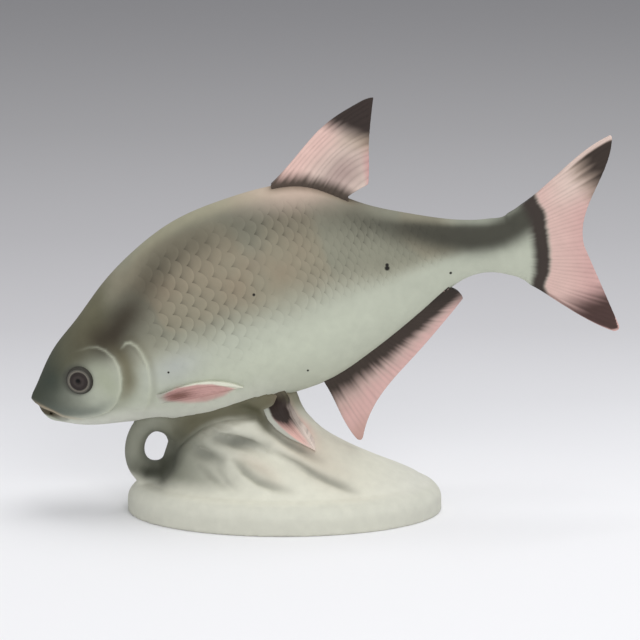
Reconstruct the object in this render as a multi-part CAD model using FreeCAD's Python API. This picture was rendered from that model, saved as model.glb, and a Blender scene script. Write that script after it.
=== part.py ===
"""Bisque porcelain fish on a wave, in millimetres.

The figurine is slip-cast hollow in several moulds, and the castings are luted together and fired.
X runs from the head (-X) to the tail (+X), Z is up, and Z = 0 is the shelf it stands on.
The fish is modelled along its own axis, u from the snout to the tail and v towards the back,
then tipped nose down onto the wave.
"""
import FreeCAD, Part
import math
import os
from FreeCAD import Vector

# ---- where the fish sits ----
snout_x = -161.9
snout_z = 63.5
fish_slope = 18.0

# ---- walls of the castings, and the vent between the two hollows ----
body_wall = 4.0
base_wall = 5.0
vent_radius = 1.6
vent_x = -35.0

# ---- body: station along the axis, back, belly, half width ----
body_stations = [
    (-0.2, -0.4, -1.2, 0.4),
    (0.7, 1.0, -2.6, 2.6),
    (3.6, 4.2, -10.4, 5.8),
    (9.5, 10.8, -17.2, 9.6),
    (20.0, 21.6, -22.6, 13.9),
    (36.0, 32.6, -27.4, 17.6),
    (56.0, 47.0, -31.8, 21.0),
    (80.0, 60.2, -39.2, 24.0),
    (106.0, 69.2, -42.6, 25.0),
    (134.0, 72.0, -42.2, 24.4),
    (160.0, 71.4, -41.4, 22.0),
    (184.0, 64.6, -34.9, 18.4),
    (206.0, 47.8, -26.8, 14.6),
    (228.0, 34.6, -17.6, 10.9),
    (248.0, 24.6, -10.6, 7.8),
    (264.0, 18.8, -12.0, 5.9),
    (280.0, 16.4, -23.2, 4.4),
]
ridge_power = 1.12
ring_points = 14
hollow_start = 19.0
hollow_end = 259.0

# ---- gill covers, mouth and eyes ----
cheek_step = 1.3
opercle_step = 1.1
cover_inner = 4.0
ramp_start = 6.0
ramp_end = 40.0
cheek_edge = [(41.4, 20.3), (48.0, 20.0), (53.4, 15.5), (55.0, 7.0), (54.0, -4.5), (49.6, -13.6), (43.0, -18.9)]
cheek_under = [(43.0, -18.9), (33.0, -19.3), (20.0, -15.6)]
cheek_front = [(20.0, -15.6), (11.0, -9.6), (8.4, -3.0), (11.4, 4.6), (22.0, 14.4), (33.0, 19.4), (41.4, 20.3)]
opercle_edge = [(56.5, 21.5), (64.8, 17.5), (69.2, 10.0), (69.8, 0.0), (67.2, -11.5), (62.6, -19.0), (57.5, -25.0)]
opercle_front = [(43.0, -16.0), (42.0, 2.0), (43.0, 17.0)]
mouth_edge = [(-3.0, -1.2), (2.6, -4.4), (6.6, -8.4), (10.6, -11.8), (13.4, -15.4)]
mouth_gap = 1.6
eye_u = 30.4
eye_v = 3.4
eye_radius = 8.1
iris_radius = 5.3
pupil_radius = 1.6
eye_rim = 0.8
eye_groove = 0.3
eye_rise = 1.3
eye_sink = 4.0
eye_turn = 15.0

# ---- fins: outlines (u, v) as smooth runs that meet at corners, and half thicknesses by height ----
fin_sink = 9.0
dorsal_front = [(163.1, 71.9), (173.1, 77.4), (191.0, 88.6), (215.2, 100.2), (229.4, 104.1)]
dorsal_tip = [(229.4, 104.1), (231.4, 103.9), (231.6, 101.8)]
dorsal_rear = [(231.6, 101.8), (224.7, 86.4), (220.2, 74.9), (216.6, 63.3), (213.6, 55.6)]
dorsal_heel = [(213.6, 55.6), (207.7, 54.8), (201.2, 53.0)]
dorsal_taper = [(-12.0, 5.2), (0.0, 4.0), (10.0, 2.3), (28.0, 1.5), (56.0, 0.9)]
anal_front = [(157.0, -41.6), (159.2, -55.0), (161.3, -69.1), (163.8, -77.4)]
anal_tip = [(163.8, -77.4), (165.9, -79.4), (168.0, -77.6)]
anal_rear = [(168.0, -77.6), (184.0, -58.7), (209.0, -42.9), (233.9, -27.2), (243.9, -20.4)]
anal_heel = [(243.9, -20.4), (242.6, -16.4), (238.6, -12.6)]
anal_taper = [(-12.0, 4.6), (0.0, 3.6), (9.0, 2.2), (22.0, 1.5), (46.0, 1.0)]
tail_top = [(280.0, 16.8), (291.4, 19.6), (319.1, 31.7), (345.0, 40.4)]
tail_top_tip = [(345.0, 40.4), (347.0, 40.4), (347.0, 38.4)]
tail_fork_top = [(347.0, 38.4), (335.7, 20.7), (320.4, 2.0), (315.6, -13.0)]
tail_fork_low = [(315.6, -13.0), (317.8, -33.2), (320.8, -60.5)]
tail_low_tip = [(320.8, -60.5), (320.2, -63.4), (317.2, -63.6)]
tail_low = [(317.2, -63.6), (302.3, -49.6), (287.6, -31.9), (280.0, -23.6)]
tail_taper = [(0.0, 3.5), (7.0, 3.0), (18.0, 2.1), (38.0, 1.5), (76.0, 0.9)]
pectoral_top = [(62.0, -18.6), (74.2, -16.2), (87.2, -15.8), (99.4, -17.9), (115.3, -27.6)]
pectoral_low = [(115.3, -27.6), (109.9, -29.1), (95.6, -29.6), (80.0, -27.4), (62.0, -21.8)]
pectoral_spine = [(114.0, -27.6), (98.4, -20.6), (87.2, -18.7), (74.2, -19.0), (62.0, -20.6)]
pectoral_thickness = 1.7
spine_thickness = 3.0

# ---- plinth and wave, X measured from the middle of the plinth ----
base_x = -21.85
base_length = 174.6
base_width = 117.4
plinth_height = 16.5
plinth_straight = 6.5
plinth_inset = 10.5
# each level: height, then the left end, the right end and the start of the crest as shares of half
# the plinth's length, then the half depth of the wave and of its upright
wave_levels = [
    (11.0, -0.8935, 0.9221, -0.8935, 51.0, 51.0),
    (16.0, -0.8591, 0.9049, -0.8591, 47.0, 44.0),
    (19.0, -0.8305, 0.8648, -0.8018, 45.0, 33.0),
    (22.0, -0.8076, 0.7961, -0.7675, 41.0, 23.0),
    (25.0, -0.7927, 0.7136, -0.7331, 37.5, 16.0),
    (28.0, -0.7789, 0.6277, -0.7045, 34.2, 13.0),
    (31.0, -0.7675, 0.5475, -0.6816, 31.6, 12.0),
    (34.5, -0.7537, 0.4582, -0.6529, 29.2, 11.5),
    (38.0, -0.7411, 0.3803, -0.6186, 27.0, 11.0),
    (42.0, -0.7285, 0.2990, -0.5727, 24.6, 11.0),
    (46.0, -0.7251, 0.2360, -0.5155, 22.2, 11.0),
    (49.5, -0.7354, 0.1947, -0.4353, 20.0, 11.0),
    (52.0, -0.7503, 0.1695, -0.3207, 17.0, 11.0),
    (55.0, -0.7560, 0.1397, -0.1604, 14.0, 11.2),
    (60.0, -0.7446, 0.1065, -0.0916, 12.4, 11.6),
    (67.0, -0.6873, 0.0779, -0.0916, 11.4, 11.4),
    (75.0, -0.5727, 0.0458, -0.0916, 9.0, 9.0),
]
level_pitch = 2.0
crest_width = 7.0
nose_power = 0.55
wave_points = 60
core_points = 24
core_overlap = 0.5
core_top = 50.0
core_setback = 1.6
core_inset = 1.8
vent_foot = 38.0
vent_top = 72.0
# each fold runs down the wave: top X, top Z, foot X, foot Z, depth, half width
wave_folds = [
    (-33.0, 47.5, 40.0, 15.5, 4.2, 5.8),
    (-27.0, 34.5, 7.0, 16.5, 2.8, 5.2),
    (-50.0, 42.0, -24.0, 16.0, 3.6, 5.6),
    (-9.0, 53.0, 24.0, 27.0, 2.6, 5.4),
]
# the curl is an arc of an ellipse, from inside the throat round to inside the foot of the wave
curl_share = -0.8167
curl_z = 35.8
curl_lean = 16.0
curl_half_width = 11.6
curl_half_height = 15.6
curl_thickness = 10.8
curl_depth = 14.0
curl_flare = 0.3
curl_start = -60.0
curl_end = 232.0
curl_rings = 14
curl_points = 12
pelvic_rear = [(-2.0, 74.0), (5.0, 62.0), (10.2, 55.4), (14.4, 49.6), (17.4, 38.4)]
pelvic_front = [(17.4, 38.4), (11.6, 41.0), (3.5, 44.4), (-4.5, 49.8), (-10.0, 56.4), (-13.4, 64.0), (-15.0, 74.0)]
# how far the face of the pelvic fin stands from the middle plane: height, distance
pelvic_face = [(80.0, 11.5), (36.0, 22.5)]
pelvic_thickness = 6.0

# ---- working lengths, long enough to pass right through ----
through = 400.0


def skin(rings, places):
    """A solid whose smooth skin runs through closed rings of points, closed flat at both ends."""
    around = [i / len(rings[0]) for i in range(len(rings[0]) + 1)]
    rows = []
    for points in rings:
        ring = Part.BSplineCurve()
        ring.interpolate(Points=points, PeriodicFlag=True, Parameters=around)
        rows.append(ring.getPoles())
    columns = []
    for column_points in zip(*rows):
        column = Part.BSplineCurve()
        column.interpolate(Points=list(column_points), Parameters=places)
        columns.append(column.getPoles())
    surface = Part.BSplineSurface()
    surface.buildFromPolesMultsKnots(
        columns,
        ring.getMultiplicities(),
        column.getMultiplicities(),
        ring.getKnots(),
        column.getKnots(),
        True,
        False,
        ring.Degree,
        column.Degree,
    )
    side = surface.toShape()
    ends = [Part.Face(Part.Wire([edge])) for edge in side.Edges if edge.isClosed()]
    sewn = Part.makeCompound([side] + ends)
    sewn.sewShape()
    solid = Part.Solid(sewn.Shells[0])
    if solid.Volume < 0:
        solid.reverse()
    return solid


def run(points):
    """A smooth open edge through the points, or a straight one between two."""
    if len(points) == 2:
        return Part.makeLine(points[0], points[1])
    curve = Part.BSplineCurve()
    curve.interpolate(Points=points)
    return curve.toShape()


def outline_face(runs):
    """A flat face inside runs of points, with a straight edge wherever two runs don't meet."""
    edges = []
    for i, points in enumerate(runs):
        edges.append(run(points))
        start = runs[(i + 1) % len(runs)][0]
        if points[-1].distanceToPoint(start) > 0.01:
            edges.append(Part.makeLine(points[-1], start))
    return Part.Face(Part.Wire(edges))


def side_prism(runs, near, far, shift=0.0):
    """A prism along Y with a side-view outline."""
    flat = [[Vector(u + shift, near, v) for u, v in points] for points in runs]
    return outline_face(flat).extrude(Vector(0, far - near, 0))


def other_side(shape):
    return shape.mirror(Vector(0, 0, 0), Vector(0, 1, 0))


def place(shape):
    """Tip the fish nose down and set its snout over the front of the wave."""
    moved = shape.copy()
    moved.rotate(Vector(0, 0, 0), Vector(0, 1, 0), -fish_slope)
    moved.translate(Vector(snout_x, 0, snout_z))
    return moved


# ---- the fish's outer form ----


def body_ring(u, back, belly, half_width):
    """One cross-section of the fish, widest at mid height and narrowed to a ridge above and below."""
    points = []
    for i in range(ring_points):
        angle = 2 * math.pi * i / ring_points
        side = math.copysign(abs(math.sin(angle)) ** ridge_power, math.sin(angle))
        v = (back + belly) / 2 + (back - belly) / 2 * math.cos(angle)
        points.append(Vector(u, half_width * side, v))
    return points


def ramp(u):
    """The share of a cover's step at a station, none at the snout and all of it behind the eye."""
    return min(1.0, max(0.0, (u - ramp_start) / (ramp_end - ramp_start)))


def form(stations, swell=0.0, inset=0.0):
    """The fish between two stations, swollen sideways for a cover or drawn in for the hollow."""
    rings = []
    for u, back, belly, half in stations:
        half_width = half + swell * ramp(u) - inset
        rings.append(body_ring(u, back - 1.2 * inset, belly + 1.2 * inset, half_width))
    return skin(rings, [station[0] for station in stations])


trunk = form(body_stations)

# The head stands proud of the trunk at each gill cover, one step for the cheek and one for the opercle.
head_stations = body_stations[2:10]
opercle_space = side_prism([opercle_edge, opercle_front], -through, -cover_inner)
opercle = form(head_stations, opercle_step).common(opercle_space)
cheek_space = side_prism([cheek_edge, cheek_under, cheek_front], -through, -cover_inner)
cheek = form(head_stations, opercle_step + cheek_step).common(cheek_space)

# Each eye is a low disc with a raised rim, a groove and a domed iris.
eye_profile = [
    (0.0, -eye_sink),
    (eye_radius, -eye_sink),
    (eye_radius, eye_groove),
    (eye_radius - eye_rim, eye_rim),
    (iris_radius + eye_rim, eye_rim),
    (iris_radius + eye_groove, eye_groove),
    (iris_radius - eye_groove, eye_rim),
    (pupil_radius, eye_rise),
    (0.0, eye_rise),
    (0.0, -eye_sink),
]
eye_outline = Part.makePolygon([Vector(radius, 0, height) for radius, height in eye_profile])
eye = Part.Face(eye_outline).revolve(Vector(0, 0, 0), Vector(0, 0, 1), 360)


def flank(u, v, swell):
    """How far the side of the head stands from the middle plane at a point of the side view."""
    for low, high in zip(body_stations, body_stations[1:]):
        if low[0] <= u <= high[0]:
            share = (u - low[0]) / (high[0] - low[0])
            back, belly, half = [a + (b - a) * share for a, b in zip(low[1:], high[1:])]
    cosine = (2 * v - back - belly) / (back - belly)
    return (half + swell * ramp(u)) * math.sqrt(1 - cosine ** 2) ** ridge_power


eye.rotate(Vector(0, 0, 0), Vector(1, 0, 0), 90)
eye.rotate(Vector(0, 0, 0), Vector(0, 0, 1), -eye_turn)
eye.translate(Vector(eye_u, -flank(eye_u, eye_v, opercle_step + cheek_step), eye_v))

covers = [opercle, cheek, eye]
mouth_lower = [(u - mouth_gap / 3, v - mouth_gap) for u, v in reversed(mouth_edge[:-1])]
mouth = side_prism([mouth_edge, [mouth_edge[-1]] + mouth_lower], -through, through)
fish = trunk.fuse(covers + [other_side(cover) for cover in covers]).cut(mouth)
fish_outer = place(fish)

# ---- plinth and wave ----


def ellipse_ring(height, inset):
    ellipse = Part.Ellipse(Vector(base_x, 0, height), base_length / 2 - inset, base_width / 2 - inset)
    return Part.Wire([ellipse.toShape()])


def fold_depth(x, height):
    """How deep the folds cut into the wave at a place of the side view."""
    total = 0.0
    for top_x, top_z, foot_x, foot_z, depth, half_width in wave_folds:
        share = (top_z - height) / (top_z - foot_z)
        if 0 < share < 1:
            middle = top_x + (foot_x - top_x) * share
            fade = math.sin(math.pi * share ** 0.7)
            total += depth * fade * math.exp(-(((x - middle) / half_width) ** 2))
    return total


def level_at(height):
    """The wave's sizes in mm at a height, between the levels of the table."""
    for low, high in zip(wave_levels, wave_levels[1:]):
        if low[0] <= height <= high[0]:
            share = (height - low[0]) / (high[0] - low[0])
            sizes = [a + (b - a) * share for a, b in zip(low[1:], high[1:])]
            return [size * base_length / 2 for size in sizes[:3]] + sizes[3:]


def wave_ring(height):
    """A level section: deep where the wave is, narrow to the left where only the upright stands."""
    left, right, crest, wave_depth, upright_depth = level_at(height)
    points = []
    for i in range(wave_points):
        angle = 2 * math.pi * (i / wave_points + 0.25)
        x = (left + right) / 2 + (right - left) / 2 * math.cos(angle)
        share = min(1.0, max(0.0, (x - crest) / crest_width + 0.5))
        half_depth = upright_depth + (wave_depth - upright_depth) * share ** 2 * (3 - 2 * share)
        power = nose_power + (1 - nose_power) * share
        across = math.copysign(abs(math.sin(angle)) ** power, math.sin(angle))
        points.append(Vector(base_x + x, (half_depth - fold_depth(x, height)) * across, height))
    return points


plinth = Part.makeLoft([ellipse_ring(0, 0), ellipse_ring(plinth_straight, 0)], True, True)
shoulder_rings = []
for i in range(4):
    turn = math.pi / 2 * i / 3
    rise = (plinth_height - plinth_straight) * math.sin(turn)
    shoulder_rings.append(ellipse_ring(plinth_straight + rise, plinth_inset * (1 - math.cos(turn))))
shoulder = Part.makeLoft(shoulder_rings, True, False)
wave_foot = wave_levels[0][0]
wave_top = wave_levels[-1][0]
level_count = round((wave_top - wave_foot) / level_pitch)
heights = [wave_foot + (wave_top - wave_foot) * i / level_count for i in range(level_count + 1)]
wave = skin([wave_ring(height) for height in heights], heights)
wave_form = plinth.fuse([shoulder, wave])

# The hollow keeps a wall in from the outside, with no folds, and rises into the wave.
core_foot = plinth_height - base_wall
under = Part.makeLoft([ellipse_ring(-1.0, base_wall), ellipse_ring(core_foot, base_wall)], True, True)
core_rings = []
core_heights = [plinth_height - core_overlap] + [
    level[0] for level in wave_levels if plinth_height < level[0] < core_top
]
for height in core_heights:
    left, right, crest, wave_depth, upright_depth = level_at(height)
    half_length = (right - max(left, crest)) / 2 - core_setback * base_wall
    middle = (right + max(left, crest)) / 2
    points = []
    for i in range(core_points):
        angle = 2 * math.pi * (i / core_points + 0.25)
        across = (wave_depth - core_inset * base_wall) * math.sin(angle)
        points.append(Vector(base_x + middle + half_length * math.cos(angle), across, height - base_wall))
    core_rings.append(points)
core = skin(core_rings, [points[0].z for points in core_rings])
vent = Part.makeCylinder(vent_radius, vent_top - vent_foot, Vector(vent_x, 0, vent_foot))
base_shell = wave_form.cut(fish_outer).cut(under.fuse(core)).cut(vent)

# ---- the hollow body, with the vent through its belly ----
hollow_stations = [station for station in body_stations if hollow_start < station[0] < hollow_end]
hollow = place(form(hollow_stations, 0.0, body_wall))
body_shell = fish_outer.cut(hollow).cut(vent)

# ---- the curl at the front of the wave ----
curl_middle = Vector(base_x + curl_share * base_length / 2, 0, curl_z)
curl_sections = []
curl_places = []
for i in range(curl_rings):
    turn = math.radians(curl_start + (curl_end - curl_start) * i / (curl_rings - 1))
    centre = Vector(-curl_half_width * math.sin(turn), 0, curl_half_height * math.cos(turn))
    normal = Vector(-math.sin(turn) / curl_half_width, 0, math.cos(turn) / curl_half_height)
    normal.normalize()
    flare = 1 + curl_flare * abs(math.cos(turn)) ** 3
    points = []
    for k in range(curl_points):
        angle = 2 * math.pi * k / curl_points
        outward = normal * (curl_thickness / 2 * flare * math.cos(angle))
        points.append(centre + outward + Vector(0, curl_depth / 2 * flare * math.sin(angle), 0))
    curl_sections.append(points)
    curl_places.append(turn)
curl = skin(curl_sections, curl_places)
curl.rotate(Vector(0, 0, 0), Vector(0, 1, 0), curl_lean)
curl.translate(curl_middle)
wave_curl = curl.cut(wave_form).cut(fish_outer)

# ---- fins in the middle plane, seated on the body ----


def fin(runs, root_front, root_rear, outward, taper):
    """A fin standing in the middle plane: thick along its root line, thin at its free edge."""
    along = Vector(root_rear[0] - root_front[0], 0, root_rear[1] - root_front[1])
    along.normalize()
    out = Vector(-along.z, 0, along.x) * outward
    start = Vector(root_front[0], 0, root_front[1]) - along * through / 2
    left = [start + out * height + Vector(0, half, 0) for height, half in taper]
    right = [start + out * height - Vector(0, half, 0) for height, half in reversed(taper)]
    wedge = outline_face([left, right]).extrude(along * through)
    widest = max(half for height, half in taper) + 1
    return side_prism(runs, -widest, widest).common(wedge)


dorsal_root = [(u, v - fin_sink) for u, v in (dorsal_heel[-1], dorsal_front[0])]
dorsal_runs = [dorsal_front, dorsal_tip, dorsal_rear, dorsal_heel, dorsal_root]
dorsal_fin = place(fin(dorsal_runs, dorsal_front[0], dorsal_heel[-1], 1, dorsal_taper)).cut(fish_outer)
anal_root = [(u, v + fin_sink) for u, v in (anal_heel[-1], anal_front[0])]
anal_runs = [anal_front, anal_tip, anal_rear, anal_heel, anal_root]
anal_fin = place(fin(anal_runs, anal_front[0], anal_heel[-1], -1, anal_taper)).cut(fish_outer)

tail_runs = [tail_top, tail_top_tip, tail_fork_top, tail_fork_low, tail_low_tip, tail_low]
tail_fin = place(fin(tail_runs, tail_top[0], tail_low[-1], 1, tail_taper))

# ---- paired fins, lying on the flank and on the wave ----
flank_stations = body_stations[6:12]
pectoral_leaf = form(flank_stations, pectoral_thickness).common(
    side_prism([pectoral_top, pectoral_low], -through, 0)
)
pectoral_spine_form = form(flank_stations, spine_thickness).common(
    side_prism([pectoral_top, pectoral_spine], -through, 0)
)
pectoral_fin = place(pectoral_leaf.fuse(pectoral_spine_form)).cut(fish_outer)

pelvic_outline = side_prism([pelvic_front, pelvic_rear], -through, 0, base_x)
outer_face = [Vector(-through, -stand, height) for height, stand in pelvic_face]
inner_face = [point + Vector(0, pelvic_thickness, 0) for point in reversed(outer_face)]
pelvic_slab = outline_face([outer_face, inner_face]).extrude(Vector(2 * through, 0, 0))
pelvic_fin = pelvic_outline.common(pelvic_slab).cut(wave_form).cut(fish_outer)

parts = {
    "base_shell": base_shell,
    "wave_curl": wave_curl,
    "body_shell": body_shell,
    "tail_fin": tail_fin,
    "dorsal_fin": dorsal_fin,
    "anal_fin": anal_fin,
    "pectoral_fin_left": pectoral_fin,
    "pectoral_fin_right": other_side(pectoral_fin),
    "pelvic_fin_left": pelvic_fin,
    "pelvic_fin_right": other_side(pelvic_fin),
}

os.makedirs("parts", exist_ok=True)
for name, shape in parts.items():
    shape.exportStep("parts/" + name + ".step")
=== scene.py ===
# %% [markdown]
# # A bisque porcelain fish on a wave
#
# The real object is a figurine of unglazed porcelain. The fish and the wave are cast hollow from
# slip and the fins are cast solid. All are luted together with more slip, sprayed with stained
# slips through an airbrush and fired. Nothing on it moves, and nothing on it shines.
#
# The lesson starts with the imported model, which gives every casting its true size and place.
# Each casting is then copied into finer clay, given its relief, and sprayed.

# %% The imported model
import math

import bmesh
import bpy
import numpy as np
from mathutils import Matrix, Vector
from mathutils.bvhtree import BVHTree


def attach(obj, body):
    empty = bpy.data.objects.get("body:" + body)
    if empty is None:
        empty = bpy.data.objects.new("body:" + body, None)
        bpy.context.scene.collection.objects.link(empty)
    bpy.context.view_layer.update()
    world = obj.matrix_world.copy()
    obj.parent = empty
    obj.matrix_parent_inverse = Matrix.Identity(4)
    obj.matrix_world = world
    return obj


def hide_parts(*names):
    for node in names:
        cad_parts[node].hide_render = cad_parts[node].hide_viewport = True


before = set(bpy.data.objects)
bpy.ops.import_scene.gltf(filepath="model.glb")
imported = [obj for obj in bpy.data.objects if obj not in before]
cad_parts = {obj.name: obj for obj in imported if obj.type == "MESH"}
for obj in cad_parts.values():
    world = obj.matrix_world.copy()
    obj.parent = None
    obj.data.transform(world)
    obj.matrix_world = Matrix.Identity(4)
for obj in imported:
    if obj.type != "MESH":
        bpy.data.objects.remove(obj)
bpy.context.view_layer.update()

print("castings:", sorted(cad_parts))

# %% [markdown]
# ## Working units and the fish's own axis
#
# A figurine is measured in millimetres, and Blender works in metres, so one factor turns one into
# the other. The fish is tipped nose down. It is easier to place an eye or a scale along the fish's
# own axis, so a helper turns side-view places into a distance from the snout and a height over
# the axis. The alternative is to work in tilted numbers everywhere, which hides what they mean.

# %% Units and the fish's axis
MM = 0.001
SNOUT_X = -161.9
SNOUT_Z = 63.5
SLOPE = math.radians(18.0)


def along_fish(points):
    """How far back from the snout, and how high over the fish's axis, points lie, in mm."""
    x = points[:, 0] / MM - SNOUT_X
    z = points[:, 2] / MM - SNOUT_Z
    back = x * math.cos(SLOPE) + z * math.sin(SLOPE)
    height = z * math.cos(SLOPE) - x * math.sin(SLOPE)
    return back, height


def smooth(low, high, value):
    """0 below low, 1 above high, and an S-curve between, as an airbrush edge is."""
    share = np.clip((value - low) / (high - low), 0.0, 1.0)
    return share * share * (3 - 2 * share)


def spot(u, v, at_u, at_v, wide, high, lean=0.0):
    """A soft round or oval spray, 1 in the middle, with its long side leaning by an angle."""
    turn = math.radians(lean)
    along = (u - at_u) * math.cos(turn) + (v - at_v) * math.sin(turn)
    across = (v - at_v) * math.cos(turn) - (u - at_u) * math.sin(turn)
    return np.exp(-((along / wide) ** 2) - (across / high) ** 2)


def near_path(u, v, path):
    """Distance from a path of (u, v, strength), above 0 on its left, and the strength there."""
    best = np.full(len(u), 1e9)
    side = np.zeros(len(u))
    strength = np.zeros(len(u))
    for (u0, v0, s0), (u1, v1, s1) in zip(path, path[1:]):
        du, dv = u1 - u0, v1 - v0
        share = np.clip(((u - u0) * du + (v - v0) * dv) / (du * du + dv * dv), 0, 1)
        distance = np.hypot(u - u0 - du * share, v - v0 - dv * share)
        closer = distance < best
        best = np.where(closer, distance, best)
        side = np.where(closer, np.sign(du * (v - v0) - dv * (u - u0)), side)
        strength = np.where(closer, s0 + (s1 - s0) * share, strength)
    return best * side, strength


def stroke(u, v, path, width):
    """A sprayed or carved stroke along a path, soft across its width."""
    distance, strength = near_path(u, v, path)
    return strength * np.exp(-((distance / width) ** 2))


print("fish axis leans by", round(math.degrees(SLOPE)), "degrees")

# %% [markdown]
# ## Colours and nodes
#
# Colours are written as sRGB hex, as a colour picker gives them, and one function turns them into
# the linear values that the shader wants. One more function adds a node with its inputs and
# settings, so that a material or a Geometry Nodes tree reads from top to bottom.

# %% Colour and node helpers
def paint(hex_colour):
    """Linear RGBA of an sRGB hex colour."""
    values = [int(hex_colour[i : i + 2], 16) / 255 for i in (1, 3, 5)]
    linear = [v / 12.92 if v <= 0.04045 else ((v + 0.055) / 1.055) ** 2.4 for v in values]
    return (*linear, 1.0)


def add_node(tree, kind, inputs=None, out=0, **settings):
    """Adds a node, sets or links its inputs by name or number, and returns one of its outputs."""
    node = tree.nodes.new(kind)
    for key, value in settings.items():
        setattr(node, key, value)
    for key, value in (inputs or {}).items():
        if isinstance(value, bpy.types.NodeSocket):
            tree.links.new(value, node.inputs[key])
        else:
            node.inputs[key].default_value = value
    return node.outputs[out] if node.outputs else node


print("a middle grey is", round(paint("#808080")[0], 3), "in linear light")

# %% [markdown]
# ## From casting to fine clay
#
# A packed casting is loose triangles, which are true but too uneven to carry relief. The merged
# copy is remeshed into an even grain with a voxel Remesh modifier, and a light Smooth does what
# the sponge does to leather-hard clay: it rounds the edges by a fraction of a millimetre. Sculpting
# by hand would also work, but it can't be repeated when a size changes.

# %% Clay helpers
MERGE = 0.002 * MM


def read_points(mesh):
    points = np.empty(len(mesh.vertices) * 3)
    mesh.vertices.foreach_get("co", points)
    return points.reshape(-1, 3)


def write_points(mesh, points):
    mesh.vertices.foreach_set("co", points.ravel())
    mesh.update()


def read_normals(mesh):
    normals = np.empty(len(mesh.vertices) * 3)
    mesh.vertex_normals.foreach_get("vector", normals)
    return normals.reshape(-1, 3)


def coat(mesh, masks):
    """Stores masks, one number per vertex, under names that materials and node trees can read."""
    for name, values in masks.items():
        layer = mesh.attributes.new(name, "FLOAT", "POINT")
        layer.data.foreach_set("value", np.asarray(values, dtype=np.float32))


def merged_copy(*nodes):
    """The castings of some nodes as one bmesh with its doubles merged."""
    clay = bmesh.new()
    for node in nodes:
        clay.from_mesh(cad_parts[node].data)
    bmesh.ops.remove_doubles(clay, verts=clay.verts, dist=MERGE)
    return clay


def new_piece(name, clay):
    mesh = bpy.data.meshes.new(name)
    clay.to_mesh(mesh)
    clay.free()
    piece = bpy.data.objects.new(name, mesh)
    bpy.context.scene.collection.objects.link(piece)
    return piece


def settle(piece):
    """Turns what the modifiers make into the piece's plain mesh."""
    graph = bpy.context.evaluated_depsgraph_get()
    mesh = bpy.data.meshes.new_from_object(
        piece.evaluated_get(graph), preserve_all_data_layers=True, depsgraph=graph
    )
    piece.modifiers.clear()
    piece.data = mesh
    piece.data.shade_smooth()


def refine(piece, grain, rubs):
    """Remeshes a piece to an even grain in mm and rubs it smooth."""
    remesh = piece.modifiers.new("Grain", "REMESH")
    remesh.mode = "VOXEL"
    remesh.voxel_size = grain * MM
    rub = piece.modifiers.new("Sponge", "SMOOTH")
    rub.factor = 0.5
    rub.iterations = rubs
    settle(piece)
    print(piece.name, "has", len(piece.data.polygons), "faces")


print("points closer than", MERGE / MM, "mm are merged")

# %% [markdown]
# ## Camera
#
# A long lens from one and a half metres keeps the perspective flat, as in a product photograph. A
# short lens close by would look down on the plinth and straight at the back of the fish.

# %% Camera
LENS = 153.4
CAMERA_AIM = Vector((-2.15, 0.0, 107.0)) * MM
CAMERA_DISTANCE = 1.5
CAMERA_RISE = math.radians(11.5)
camera_data = bpy.data.cameras.new("camera")
camera_data.sensor_width = 36.0
camera_data.lens = LENS
camera = bpy.data.objects.new("camera", camera_data)
bpy.context.scene.collection.objects.link(camera)
towards = Vector((0, math.cos(CAMERA_RISE), -math.sin(CAMERA_RISE)))
camera.location = CAMERA_AIM - towards * CAMERA_DISTANCE
camera.rotation_euler = towards.to_track_quat("-Z", "Y").to_euler()
bpy.context.scene.camera = camera
print("camera stands", CAMERA_DISTANCE, "m away, with a lens of", LENS, "mm")

# %% [markdown]
# ## Lights
#
# One wide lamp overhead gives the soft shade under the belly, and a weaker one in front opens it.
# Their power is set so that a colour comes out about as it was written. The pale sky fills in what
# the lamps leave dark.

# %% Lights
def soft_light(name, place, aim, width, power):
    """A square area light at a place, turned towards an aim, in metres and watts."""
    data = bpy.data.lights.new(name, "AREA")
    data.shape = "SQUARE"
    data.size = width
    data.energy = power
    light = bpy.data.objects.new(name, data)
    bpy.context.scene.collection.objects.link(light)
    light.location = place
    light.rotation_euler = (Vector(aim) - Vector(place)).to_track_quat("-Z", "Y").to_euler()


LAMP_AIM = (0.0, 0.0, 0.1)
SKY_COLOUR = "#e9eaec"
SKY_STRENGTH = 0.6
soft_light("overhead", place=(0.5, 0.2, 2.4), aim=LAMP_AIM, width=1.8, power=33.0)
soft_light("front", place=(0.3, -1.8, 0.9), aim=LAMP_AIM, width=1.2, power=13.0)

world = bpy.data.worlds.new("studio")
bpy.context.scene.world = world
world.use_nodes = True
sky = world.node_tree
sky.nodes["Background"].inputs["Color"].default_value = paint(SKY_COLOUR)
sky.nodes["Background"].inputs["Strength"].default_value = SKY_STRENGTH
bpy.context.scene.view_settings.view_transform = "Standard"
print("lamps:", [lamp.name for lamp in bpy.data.lights])

# %% [markdown]
# ## Floor
#
# The figurine stands on matt paper. It deepens from white to grey behind the figurine, which gives
# the grey towards the top of the picture without a wall in the way of other views.

# %% Floor
FLOOR_RADIUS = 8.0
PAPER_ROUGHNESS = 0.9
PAPER_SHEEN = 0.1
FLOOR_RAMP = [(0.0, "#efeff1"), (0.13, "#e6e6e9"), (0.27, "#dcdcdf"), (0.5, "#c8c7ca")]
FLOOR_RAMP += [(0.9, "#bab9bc"), (1.6, "#afaeb0"), (3.3, "#a9a8ab")]


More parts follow.
